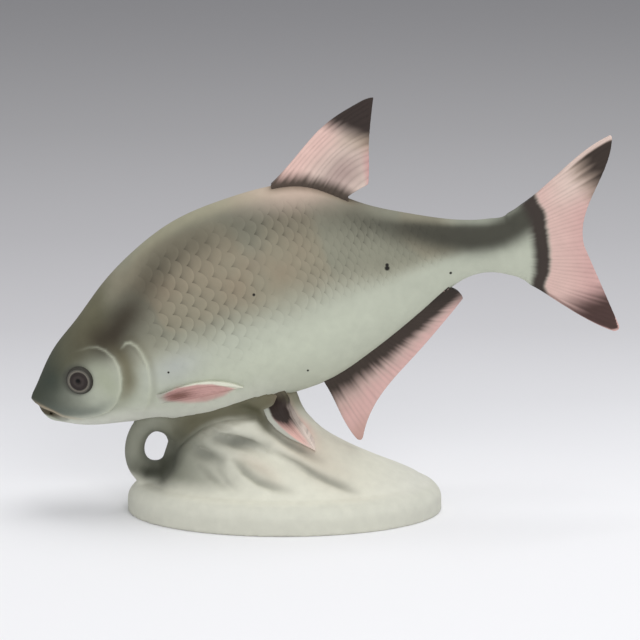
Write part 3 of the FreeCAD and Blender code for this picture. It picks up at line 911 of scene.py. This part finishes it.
def make_eye(name, side):
    """An eye on the left (-1) or right (1) side, spun and set into the head."""
    clay = bmesh.new()
    ring = [clay.verts.new((radius * MM, 0, height * MM)) for radius, height in EYE_PROFILE]
    edges = [clay.edges.new(pair) for pair in zip(ring, ring[1:])]
    bmesh.ops.spin(
        clay,
        geom=ring + edges,
        axis=(0, 0, 1),
        cent=(0, 0, 0),
        angle=2 * math.pi,
        steps=EYE_STEPS,
        use_merge=True,
    )
    bmesh.ops.remove_doubles(clay, verts=clay.verts, dist=MERGE)
    bmesh.ops.subdivide_edges(clay, edges=clay.edges, cuts=1, smooth=0.6, use_grid_fill=True)
    bmesh.ops.recalc_face_normals(clay, faces=clay.faces)
    piece = new_piece(name, clay)
    places = read_points(piece.data) / MM
    radius = np.hypot(places[:, 0], places[:, 1])
    pupil_far = np.hypot(places[:, 0] - PUPIL[0], places[:, 1] - PUPIL[1])
    masks = {
        "pupil": 1 - smooth(0.8, 1.6, pupil_far),
        "iris": 1 - smooth(4.8, 5.4, radius),
        "iris_pale": smooth(1.4, 2.2, radius) * (1 - smooth(2.6, 3.8, radius)),
        "ring_pale": np.exp(-(((radius - 5.65) / 0.26) ** 2)),
        # Dark outer ring: a painted line, with painted shade where the eye sinks into its socket.
        "rim_dark_and_painted_shade": smooth(6.4, 6.9, radius),
    }
    coat(piece.data, masks)
    facing = Vector((-math.sin(EYE_TURN), side * math.cos(EYE_TURN), 0))
    facing.rotate(Matrix.Rotation(-SLOPE, 3, "Y"))
    hit = body_skin.ray_cast(world_from_fish(*EYE_PLACE, side * 100.0), Vector((0, -side, 0)))[0]
    turn = facing.to_track_quat("Z", "Y").to_matrix().to_4x4()
    turn.translation = hit + facing * EYE_RISE * MM
    piece.data.transform(turn)
    piece.data.shade_smooth()
    return piece


eye_bisque = bisque(
    "eye bisque, painted",
    "#5c5a53",
    [
        # Dark outer ring: a painted line, with painted shade where the eye sinks into its socket.
        ("rim_dark_and_painted_shade", "#33312b", 0.9),
        ("iris", "#2f2826", 1.0),
        ("iris_pale", "#3f3835", 0.8),
        ("ring_pale", "#857d71", 0.7),
        ("pupil", "#060505", 1.0),
    ],
    shade=None,
)
eyes = [make_eye("eye_left", -1), make_eye("eye_right", 1)]
for eye in eyes:
    eye.data.materials.append(eye_bisque)
stand = [round(float(np.abs(read_points(eye.data)[:, 1]).max()) / MM, 1) for eye in eyes]
print("eyes stand out to", stand, "mm from the middle plane")

# %% [markdown]
# ## The fins
#
# Every fin is a thin casting with rays that fan from its root to its free edge. One rule serves all
# of them: a fan is ruled between two curves, along the front edge and along the rear one. Solving
# for a point's place in that fan gives its ray number and its reach from root to edge, and both
# the carved rays and the streaky spray follow these.

# %% Fans
def bezier(curve, t):
    """Points and slopes of a quadratic curve of three (a, b) pairs at places t."""
    p0, p1, p2 = (np.array(p)[:, None] for p in curve)
    point = (1 - t) ** 2 * p0 + 2 * t * (1 - t) * p1 + t**2 * p2
    slope = 2 * (1 - t) * (p1 - p0) + 2 * t * (p2 - p1)
    return point, slope


def fan_place(a, b, front, rear):
    """Share from the front curve (0) to the rear one (1), and reach from root (0) to edge (1)."""
    share = np.full(len(a), 0.5)
    reach = np.full(len(a), 0.5)
    for _ in range(14):
        f, df = bezier(front, reach)
        r, dr = bezier(rear, reach)
        miss_a = a - f[0] * (1 - share) - r[0] * share
        miss_b = b - f[1] * (1 - share) - r[1] * share
        across, along = r - f, df * (1 - share) + dr * share
        det = across[0] * along[1] - across[1] * along[0]
        det = np.where(np.abs(det) < 1e-3, 1e-3, det)
        share = np.clip(share + 0.9 * (miss_a * along[1] - miss_b * along[0]) / det, -0.6, 1.6)
        reach = np.clip(reach + 0.9 * (across[0] * miss_b - across[1] * miss_a) / det, -0.6, 1.6)
    return share, reach


def streaks(ray, seed, per_ray=2.0):
    """Random numbers from -1 to 1 that change from ray to ray, as brush marks do."""
    table = np.random.default_rng(seed).random(400) * 2 - 1
    return np.interp(ray * per_ray + 60, np.arange(400), table)


def seat(piece, skin, reach=1.0, sink=0.9, hug=None):
    """Sinks the luted faces of a piece into a skin, so that no gap shows along the seam.

    hug, from 0 to 1 for each point, also draws the piece down onto the skin."""
    places = read_points(piece.data)
    for i, place in enumerate(places):
        pull = 0.0 if hug is None else hug[i]
        near, normal, _, _ = skin.find_nearest(Vector(place), (12 if pull else 2 * reach) * MM)
        if near is None:
            continue
        out = (Vector(place) - near).dot(normal) / MM
        drop = sink * (1 - max(out, 0.0) / reach) if abs(out) < reach else 0.0
        drop = max(drop, pull * (out + 0.4))
        places[i] = Vector(place) - normal * (drop * MM)
    write_points(piece.data, places)


FIN_GRAIN = 0.45


def start_fin(name, clay, front, rear, count, bend=0.0, in_fish=True):
    """A fin in fine clay with its fan measured: the piece, its places, share, reach and rays."""
    fin = new_piece(name, clay)
    refine(fin, FIN_GRAIN, rubs=1)
    places = read_points(fin.data)
    a, b = along_fish(places) if in_fish else (places[:, 0] / MM, places[:, 2] / MM)
    share, reach = fan_place(a, b, front, rear)
    bowed = share + bend * 4 * share * (1 - share) * np.sin(np.pi * np.clip(reach, 0, 1))
    ray = bowed * count
    ray = ray + 0.35 * streaks(ray, count, 0.7)
    coat(fin.data, {"ray": ray})
    return fin, a, b, share, reach, ray


def finish_fin(fin, carved, material, depth, skin=body_skin, **seating):
    """Carves the rays of a fin as deep as carved (0 to 1) says, and seats it on a skin."""
    coat(fin.data, {"ray_depth": carved})
    run_tree(fin, rays, material, {"Groove depth": depth})
    seat(fin, skin, **seating)


print("fins are remeshed to a grain of", FIN_GRAIN, "mm")

# %% [markdown]
# ### Dorsal fin
#
# A dark root and a dark tip with cream and pink between. The casting's tip is blunt, and the real
# one runs out to a point at the trailing edge, so its front corner is filed down to that.

# %% Dorsal fin
DORSAL_FRONT = [(163.1, 71.9), (198.0, 96.0), (231.4, 104.3)]
DORSAL_REAR = [(200.0, 50.0), (207.0, 54.5), (215.0, 57.0)]
DORSAL_RAYS = 14
DORSAL_GROOVE = 0.28
TIP_FALL = 0.55
TIP_ROUND = 3.0
TIP_BAND_Z = 213.0
TIP_BAND_FALL = 0.29
dorsal, a, b, share, reach, ray = start_fin(
    "fish_dorsal_fin", merged_copy("dorsal_fin"), DORSAL_FRONT, DORSAL_REAR, DORSAL_RAYS, bend=0.07
)
places = read_points(dorsal.data)
tip = places[places[:, 2].argmax()]
tip_x = places[places[:, 2] > tip[2] - 4 * MM][:, 0].max()
before_tip = np.maximum(tip_x / MM - 0.5 - places[:, 0] / MM, 0)
over = places[:, 2] / MM - (tip[2] / MM - TIP_FALL * before_tip)
cut = (over + np.sqrt(over**2 + TIP_ROUND**2)) / 2 - TIP_ROUND / 8
places[:, 2] -= np.where(reach > 0.5, np.maximum(cut, 0), 0) * MM
write_points(dorsal.data, places)
x, z = places[:, 0] / MM, places[:, 2] / MM
over_back = b - np.interp(a, stations, back_line)
tip_line = z - (TIP_BAND_Z - TIP_BAND_FALL * (x - 1.4)) + 1.4 * streaks(ray, 2)
masks = {
    "root_dark": 1 - smooth(0.5, 9.5, over_back + 1.2 * streaks(ray, 1, 3.0)),
    "tip_olive": smooth(-11, 2, tip_line) * smooth(0.1, 0.6, share),
    "tip_dark": smooth(-4, 7, tip_line),
    "edge_pink": smooth(0.75, 1.0, reach) * smooth(0.4, 0.8, share),
    "front_pink": (1 - smooth(0.1, 0.5, share)) * (1 - smooth(0.5, 0.75, reach)),
    "rear_grey": spot(x, z, 10, 189, 13, 9, 35),
}
coat(dorsal.data, masks)
dorsal_bisque = bisque(
    "dorsal fin bisque, sprayed",
    "#d8c4b8",
    [
        ("front_pink", "#e3bfb5", 0.9),
        ("rear_grey", "#a38b86", 0.75),
        ("edge_pink", "#c99896", 0.9),
        ("root_dark", "#443a31", 0.97),
        ("tip_olive", "#94836d", 0.8),
        ("tip_dark", "#352b27", 1.0),
    ],
)
carved = smooth(0.02, 0.12, reach) * (1 - smooth(0.93, 1.02, reach)) * smooth(0.0, 0.08, share)
finish_fin(dorsal, carved, dorsal_bisque, DORSAL_GROOVE, reach=1.6, sink=1.4)

# %% [markdown]
# ### Tail fin
#
# The tail grows out of the peduncle with no step. The end of the body is therefore added to the
# tail's clay, and the joint between them is sponged smooth. That lap lies over the body, which was
# sunk under it, and dips into the body where it starts.

# %% Tail fin
TAIL_SEAM = 280.0
SEAM_RUBS = 120
TAIL_RAYS = 35
TAIL_GROOVE = 0.14
TOP_TIP_U = 327.0
LOW_TIP_V = -40.0
TAIL_FRONT = [(279.0, 16.8), (316.0, 30.0), (347.5, 41.2)]
TAIL_REAR = [(279.0, -23.2), (300.0, -46.0), (320.8, -64.3)]
BAND_EDGE = [(-28, 287.5), (-26, 288.8), (-20, 293), (-13, 295.4), (-5.6, 297.1), (1.8, 298.4)]
BAND_EDGE += [(9, 299.4), (14, 299.6), (18, 298)]
axis = world_from_fish(1, 0, 0) - world_from_fish(0, 0, 0)
bmesh.ops.bisect_plane(
    lap_clay,
    geom=lap_clay.verts[:] + lap_clay.edges[:] + lap_clay.faces[:],
    plane_co=world_from_fish(TAIL_LAP - 4, 0, 0),
    plane_no=axis,
    clear_inner=True,
)
bmesh.ops.holes_fill(lap_clay, edges=[edge for edge in lap_clay.edges if edge.is_boundary])
lap_mesh = bpy.data.meshes.new("lap")
lap_clay.to_mesh(lap_mesh)
tail_clay = merged_copy("tail_fin")
tail_clay.from_mesh(lap_mesh)
tail, a, b, share, reach, ray = start_fin(
    "fish_tail_fin", tail_clay, TAIL_FRONT, TAIL_REAR, TAIL_RAYS
)
seam = smooth(TAIL_SEAM - 9, TAIL_SEAM - 4, a) * (1 - smooth(TAIL_SEAM + 4, TAIL_SEAM + 10, a))
sponge(tail, seam, SEAM_RUBS)
dip = LAP_SINK * (1 - smooth(TAIL_LAP - 1, TAIL_LAP + 3, a)) * MM
write_points(tail.data, read_points(tail.data) - read_normals(tail.data) * dip[:, None])
lay_body_coats(tail.data, a, b)
past_band = a - np.interp(b, *zip(*BAND_EDGE)) + 0.5 * streaks(ray, 3)
tail_slices, tail_top, tail_low = measure_outline(a, b)
under_top = np.interp(a, tail_slices, tail_top) - b
over_low = b - np.interp(a, tail_slices, tail_low)
tip_out = a - TOP_TIP_U + 0.25 * (b - 26) + 2.5 * streaks(ray, 4)
low_out = LOW_TIP_V - b + 2.5 * streaks(ray, 5)
masks = {
    "tail_pink": smooth(-2, 3, past_band),
    "root_band": smooth(-11.5, -5.5, past_band) * (1 - smooth(-1.2, 2.2, past_band)),
    "fork_pink": smooth(0.35, 0.75, reach) * smooth(0.1, 0.4, share),
    "lobe_pale": smooth(0.3, 0.6, reach) * (1 - smooth(0.12, 0.34, share)),
    "tip_olive": smooth(-12, 2, tip_out) * smooth(1.6, 3.2, under_top) * smooth(2, 14, b),
    "tip_dark": smooth(-6, 9, tip_out) * smooth(1.6, 3.2, under_top) * smooth(6, 16, b),
    "low_dark": smooth(-7, 9, low_out) * smooth(0.6, 1.8, over_low),
    "low_streak": smooth(-26, -30, b) * np.exp(-(((over_low - 2.4) / 1.1) ** 2)),
}
coat(tail.data, masks)
tail_bisque = bisque(
    "tail fin bisque, sprayed",
    CELADON,
    BODY_COATS
    + [
        ("tail_pink", "#d5b5ac", 1.0),
        ("fork_pink", "#cca29d", 0.75),
        ("lobe_pale", "#dccbbf", 0.6),
        ("tip_olive", "#8f7e6c", 0.7),
        ("tip_dark", "#382e28", 1.0),
        ("low_streak", "#6f5650", 0.7),
        ("low_dark", "#493531", 1.0),
        ("root_band", "#3a322d", 1.0),
    ],
)
worn = 0.75 + 0.35 * streaks(ray, 10, 0.6)
carved = worn * smooth(-3, 3, past_band) * (1 - smooth(0.95, 1.02, reach))
finish_fin(tail, carved, tail_bisque, TAIL_GROOVE, reach=0.01, sink=0.0)

# %% [markdown]
# ### Anal fin
#
# Long and low, with many fine rays. Its dark root is a band that widens towards the rear, brushed
# out into the pink ray by ray, and its heel is almost black.

# %% Anal fin
ANAL_RAYS = 30
ANAL_GROOVE = 0.14
BAND_AT_FRONT = 0.31
BAND_GROWTH = 0.32
ANAL_FRONT = [(157.0, -41.6), (160.0, -60.0), (165.5, -80.0)]
ANAL_REAR = [(226.0, -18.0), (235.0, -19.6), (246.0, -20.4)]
anal, _, _, share, reach, ray = start_fin(
    "fish_anal_fin", merged_copy("anal_fin"), ANAL_FRONT, ANAL_REAR, ANAL_RAYS
)
band_edge = BAND_AT_FRONT + BAND_GROWTH * np.clip(share, 0, 1) ** 1.3
streaked = reach - band_edge + 0.05 * streaks(ray, 6, 3.0)
masks = {
    "root_dark": 1 - smooth(-0.16, 0.16, streaked),
    "middle_grey": 1 - smooth(0.0, 0.35, streaked),
    "heel_black": smooth(0.88, 1.1, share),
    "tip_brown": smooth(0.7, 1.0, reach) * (1 - smooth(0.0, 0.25, share)),
}
coat(anal.data, masks)
anal_bisque = bisque(
    "anal fin bisque, sprayed",
    "#d3ada7",
    [
        ("tip_brown", "#b9958b", 0.8),
        ("middle_grey", "#b39f96", 0.8),
        ("root_dark", "#3c332d", 1.0),
        ("heel_black", "#2f2823", 0.85),
    ],
)
worn = 0.7 + 0.4 * streaks(ray, 11, 0.6)
carved = worn * smooth(0.0, 0.1, reach) * (1 - smooth(0.75, 0.98, reach))
finish_fin(anal, carved, anal_bisque, ANAL_GROOVE)
print("fins in the middle plane have", [DORSAL_RAYS, TAIL_RAYS, ANAL_RAYS], "rays")

# %% [markdown]
# ### Pectoral fins
#
# The pectoral fin lies along the flank. Its upper edge is a raised rim with a cream painted
# highlight, widest at the tip, and its lower edge is rubbed down into the flank until no step is
# left. The pink is sprayed over both, so it belongs to the shared coats.

# %% Pectoral fins
PECTORAL_FRONT = [(60.0, -18.6), (88.0, -12.6), (116.0, -27.6)]
PECTORAL_REAR = [(60.0, -22.4), (90.0, -32.8), (116.0, -27.8)]
PECTORAL_RAYS = 11
PAIRED_GROOVE = 0.22
pectoral_bisque = bisque(
    "pectoral fin bisque, sprayed",
    "#c0c2b5",
    [
        # Painted highlight on the raised upper rim.
        ("rim_painted_highlight", "#e0e1d0", 1.0),
        ("pectoral_pink", "#cb9f9a", 0.97),
        ("root_dark", "#6f4a40", 0.9),
    ],
)
for side in ("left", "right"):
    fin, a, b, share, reach, ray = start_fin(
        "fish_pectoral_fin_" + side,
        merged_copy("pectoral_fin_" + side),
        PECTORAL_FRONT,
        PECTORAL_REAR,
        PECTORAL_RAYS,
    )
    blade = pectoral_blade(a, b)
    root = spot(a, b, 80, -20.3, 8.5, 3.0, -8) * (1 + 0.4 * streaks(ray, 7, 3.0))
    masks = {
        # Painted highlight on the raised upper rim, from the middle to the tip.
        "rim_painted_highlight": smooth(76, 92, a) * (1 - smooth(0.45, 0.7, share)),
        "pectoral_pink": blade,
        "root_dark": np.clip(root, 0, 1),
    }
    coat(fin.data, masks)
    carved = blade * smooth(0.1, 0.25, reach)
    hug = np.maximum(smooth(0.45, 0.9, share), 1 - smooth(66, 74, a))
    finish_fin(fin, carved, pectoral_bisque, PAIRED_GROOVE, hug=hug)
print("pectoral fins have", PECTORAL_RAYS, "rays each")

# %% [markdown]
# ## Plinth, wave and curl
#
# The curl is luted to the wave and sponged until no seam shows, so both castings become one piece
# of clay here. The corner where the wave meets the plinth is sponged round with it.

# %% Base clay
BASE_GRAIN = 0.92
BASE_X = -21.85
PLINTH_TOP = 16.0
CREST = [(-60, 31, 0.3), (-57.9, 35.1, 0.7), (-52.3, 40.6, 0.9), (-44.9, 46.4, 1), (-37.6, 50, 1)]
CREST += [(-30.2, 51.7, 1), (-23, 52.1, 0.9), (-16.5, 52.7, 0.6), (-12.6, 55.2, 0.1)]
UNDER_CREST = [(-37, 45.2, 0.7), (-27.2, 43.9, 1), (-18.5, 43.2, 0.9), (-9.8, 41.2, 0.5)]
UNDER_CURL = [(-48, 37.4, 0.5), (-41, 36, 0.8), (-35.1, 34.8, 0.5)]
LONG_FOLD = [(-12, 43, 0.1), (-2.6, 37.7, 0.5), (6.1, 33.6, 0.8), (14.7, 28.9, 1), (23.4, 25.4, 1)]
LONG_FOLD += [(32, 22.3, 0.8), (40.6, 19.3, 0.2)]
MIDDLE_FOLD = [(-27.1, 33.8, 0.3), (-21.3, 29.3, 1), (-14, 25.3, 1), (-5.3, 22.6, 0.7)]
MIDDLE_FOLD += [(6.2, 20.5, 0.1)]
LEFT_FOLD = [(-46, 30.6, 0.3), (-40.1, 26, 0.8), (-34.2, 22.8, 0.6), (-28.3, 20.8, 0.1)]
SHORT_FOLD = [(-36.5, 29, 0.3), (-31.4, 24.2, 0.8), (-25, 20.8, 0.1)]
FIN_FOLD = [(-22, 60, 0.5), (-15, 57, 1), (-8.5, 50.8, 1), (0.2, 44.1, 1), (10.4, 38.6, 1)]
FIN_FOLD += [(22, 33, 0.2)]
CURL_THROAT = [(-62.5, 38, 0.2), (-64.2, 28, 0.7), (-69.3, 22.4, 1), (-76, 23, 0.8), (-80, 26, 0.2)]
FOLDS = [
    (UNDER_CREST, 2.4, 3.6),
    (UNDER_CURL, 2.0, 3.4),
    (LONG_FOLD, 1.8, 1.9),
    (MIDDLE_FOLD, 1.7, 1.8),
    (LEFT_FOLD, 1.4, 1.9),
    (SHORT_FOLD, 1.0, 1.7),
    (FIN_FOLD, 1.7, 2.2),
    (CURL_THROAT, 2.4, 4.2),
]
FULL_FOLD = 2.4
LIP_SHARE = 0.3
LIP_WIDTH = 1.7
CREST_RISE = 1.2
CREST_HOLLOW = 1.1
SEAM_SPONGE = 40

base = new_piece("wave_base", merged_copy("base_shell", "wave_curl"))
refine(base, BASE_GRAIN, rubs=3)
places = read_points(base.data) / MM
normals = read_normals(base.data)
outward = normals[:, 1] * np.sign(places[:, 1])
outside = np.maximum(smooth(-0.05, 0.2, outward), smooth(0.3, 0.6, normals[:, 2]))
foot_seam = smooth(9.5, 13, places[:, 2]) * (1 - smooth(24, 34, places[:, 2])) * outside
curl_seam = spot(places[:, 0] - BASE_X, places[:, 2], -72, 20, 14, 8) * outside
sponge(base, np.clip(np.maximum(foot_seam, curl_seam), 0, 1), SEAM_SPONGE)

# %% [markdown]
# ### Crest and folds
#
# The crest is a soft lip with a hollow behind it, and folds run down from it to the foot. They are
# cut by strokes, as a modelling tool would cut them: each has a path in the side view, a depth and
# a width, and works on both sides of the wave.

# %% Crest and folds
places = read_points(base.data) / MM
normals = read_normals(base.data)
outward = normals[:, 1] * np.sign(places[:, 1])
side_face = smooth(0.02, 0.35, outward)
bx, bz = places[:, 0] - BASE_X, places[:, 2]
move = CREST_RISE * stroke(bx, bz, CREST, 1.5)
crest_far, crest_strength = near_path(bx, bz, CREST)
move -= CREST_HOLLOW * crest_strength * np.exp(-(((crest_far - 6.0) / 3.6) ** 2))
hollows = np.zeros(len(bx))
for path, fold_depth, width in FOLDS:
    distance, strength = near_path(bx, bz, path)
    groove = strength * np.exp(-((distance / width) ** 2))
    lip = strength * np.exp(-(((distance + LIP_WIDTH * width) / width) ** 2))
    move += fold_depth * (LIP_SHARE * lip - groove)
    hollows = np.maximum(hollows, groove * fold_depth / FULL_FOLD)
places += normals * (move * side_face)[:, None]
write_points(base.data, places * MM)
sponge(base, np.clip(side_face * (bz > PLINTH_TOP), 0, 1), passes=1)
print("the wave has", len(FOLDS), "folds on each side")

# %% [markdown]
# ### Coats of the base
#
# The plinth stays pale, with its wall darkened a little as painted shade. The wave is sprayed olive
# on its left side, with painted shade laid in, and on the upright behind its crest an olive painted
# shade darkens it, deepest as a painted shadow in the throat of the curl, so that the wave seems to
# rise in front of it. The folds are darkened with olive, partly sprayed and partly painted shade,
# painted shade lies under the belly, and some of the pink of the pelvic fin drifts past its rear
# edge onto the upright.

# %% Base coats
SCOOP = [(-57, 42, 0.4), (-62, 31, 0.8), (-69, 23, 1), (-76, 22.5, 1), (-81, 25, 0.5)]
NECK_SHADE = [(-26, 62, 0.5), (-20, 60, 0.9), (-14, 56.6, 1), (-9.8, 51.6, 0.8), (-5, 47, 0.2)]
places = read_points(base.data) / MM
normals = read_normals(base.data)
bx, bz = places[:, 0] - BASE_X, places[:, 2]
behind_crest = smooth(-0.5, 5, near_path(bx, bz, CREST + [(6, 66, 0.1)])[0])
blush = spot(bx, bz, 12, 40, 26, 9, -35) + 0.8 * spot(bx, bz, -14, 32, 14, 4.5, -28)
overspray = 1.3 * spot(bx, bz, 7.5, 54.5, 12, 5, -58) * smooth(4, 12, np.abs(places[:, 1]))
masks = {
    # Olive in the folds: partly sprayed colour, partly painted shade.
    "fold_olive_and_painted_shade": np.clip(hollows, 0, 1),
    # Olive on the left of the wave, with painted shade in it.
    "left_olive_and_painted_shade": (1 - smooth(-62, -10, bx)) * smooth(14.5, 25, bz),
    # Olive painted shade on the upright behind the crest.
    "neck_olive_painted_shade": behind_crest * smooth(-74, -50, bx) * smooth(30, 44, bz),
    # Painted shade in the crease between the crest and the pelvic fin.
    "neck_crease_painted_shade": stroke(bx, bz, NECK_SHADE, 3.6),
    # Painted shade on the wave under the belly.
    "under_belly_painted_shade": smooth(50, 64, bz) * smooth(-20, -8, bx),
    # Painted shadow in the throat of the curl.
    "scoop_painted_shadow": stroke(bx, bz, SCOOP, 5.0),
    "wave_blush": np.clip(blush, 0, 1),
    "fin_overspray": np.clip(overspray, 0, 1),
    "right_grey": smooth(40, 80, bx),
    # The plinth's wall darkened a little as painted shade.
    "wall_painted_shade": 1 - smooth(14.5, 16.5, bz),
    "inside_bare": smooth(0.2, 0.8, -normals[:, 2]) * (bz < 40),
}
coat(base.data, masks)
base_bisque = bisque(
    "base bisque, sprayed",
    "#dbdacb",
    [
        ("wave_blush", "#c8bcaa", 0.7),
        ("right_grey", "#c9c9c2", 0.5),
        # Olive on the left of the wave, with painted shade in it.
        ("left_olive_and_painted_shade", "#717365", 0.87),
        # Olive painted shade on the upright behind the crest.
        ("neck_olive_painted_shade", "#605d49", 0.95),
        # Olive in the folds: partly sprayed colour, partly painted shade.
        ("fold_olive_and_painted_shade", "#62645a", 0.8),
        # Painted shade in the crease between the crest and the pelvic fin.
        ("neck_crease_painted_shade", "#56543f", 0.9),
        # Painted shade on the wave under the belly.
        ("under_belly_painted_shade", "#69654f", 0.85),
        # Painted shadow in the throat of the curl.
        ("scoop_painted_shadow", "#393a2f", 0.97),
        ("fin_overspray", "#dab2a8", 0.9),
        # The plinth's wall darkened a little as painted shade.
        ("wall_painted_shade", "#cacabd", 0.7),
        ("inside_bare", "#cfcdc2", 0.8),
    ],
    shade=None,
)
base.data.materials.append(base_bisque)
seat(base, body_skin, reach=1.2, sink=1.0)
print("the base has", len(masks), "coats")

# %% [markdown]
# ### Pelvic fins
#
# The pelvic fins hang from the belly down over the upright. Their front edge stands clear of it as
# a rim with a pale painted highlight, and their rear edge is rubbed down into it, so they are
# carved last, on the finished base. Their upper roots are tucked in towards the middle, under the
# belly, where they get painted shade.

# %% Pelvic fins
PELVIC_FRONT = [(-36.8, 74.0), (-29.0, 50.0), (-4.4, 38.0)]
PELVIC_REAR = [(-23.8, 74.0), (-12.0, 60.0), (-4.4, 38.6)]
PELVIC_RAYS = 9
PELVIC_TUCK = 6.0
FRONT_TUCK = 3.5
base_skin = skin_of(base)
pelvic_bisque = bisque(
    "pelvic fin bisque, sprayed",
    "#e0d0c5",
    [
        ("blade_pink", "#dfaea4", 0.85),
        # Olive painted shade at the top of the fin, under the belly.
        ("root_olive_painted_shade", "#5d5945", 0.97),
        ("root_dark", "#322824", 1.0),
        # Painted highlight on the front rim.
        ("rim_painted_highlight", "#b4b6ab", 0.95),
    ],
)
for side in ("left", "right"):
    fin, x, z, share, reach, ray = start_fin(
        "fish_pelvic_fin_" + side,
        merged_copy("pelvic_fin_" + side),
        PELVIC_FRONT,
        PELVIC_REAR,
        PELVIC_RAYS,
        in_fish=False,
    )
    places = read_points(fin.data)
    u, v = along_fish(places)
    over_belly = v - np.interp(u, stations, belly_line)
    tuck = PELVIC_TUCK * smooth(-4.5, 2.5, over_belly)
    tuck += FRONT_TUCK * (1 - smooth(0.1, 0.5, share)) * smooth(-7, 0, over_belly)
    stand = np.abs(places[:, 1]) - 1 * MM
    places[:, 1] -= np.sign(places[:, 1]) * np.minimum(tuck * MM, stand)
    write_points(fin.data, places)
    dark = 1.5 * spot(x, z, -24.5, 59.5, 11, 6.5, -30) + 0.15 * streaks(ray, 8, 3.0)
    masks = {
        "root_dark": np.clip(dark, 0, 1),
        "blade_pink": (1 - smooth(0.35, 0.9, share)) * (1 - smooth(0.75, 1.0, reach)),
        # Painted highlight on the front rim.
        "rim_painted_highlight": 1 - smooth(-0.07, 0.03, share),
        # Olive painted shade at the top of the fin, under the belly.
        "root_olive_painted_shade": smooth(-4.5, -1.5, over_belly),
    }
    coat(fin.data, masks)
    carved = smooth(0.14, 0.24, share) * smooth(0.2, 0.4, reach) * (1 - smooth(0.9, 1.0, reach))
    hug = (0.3 + 0.35 * smooth(0.4, 1.0, share)) * (1 - smooth(-4, 1, over_belly))
    finish_fin(fin, carved, pelvic_bisque, PAIRED_GROOVE, base_skin, hug=hug)
print("pelvic fins have", PELVIC_RAYS, "rays each")

# %% [markdown]
# ## Standing in for the castings
#
# Each finished piece takes the place of the casting that it was copied from, and rides on the one
# body of the model, because the figurine is rigid.

# %% Pieces and castings
FIN_NODES = ["tail_fin", "dorsal_fin", "anal_fin"]
for kind in ("pectoral_fin_", "pelvic_fin_"):
    FIN_NODES += [kind + side for side in ("left", "right")]
made_from = [("fish_body", ["body_shell"], "body_bisque")]
made_from += [("wave_base", ["base_shell", "wave_curl"], "base_bisque")]
made_from += [("fish_" + node, [node], "fin_bisque") for node in FIN_NODES]
for name, nodes, slot in made_from:
    piece = bpy.data.objects[name]
    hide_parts(*nodes)
    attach(piece, "root")
for eye in eyes:
    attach(eye, "root")
print("pieces:", [name for name, _, _ in made_from] + [eye.name for eye in eyes])
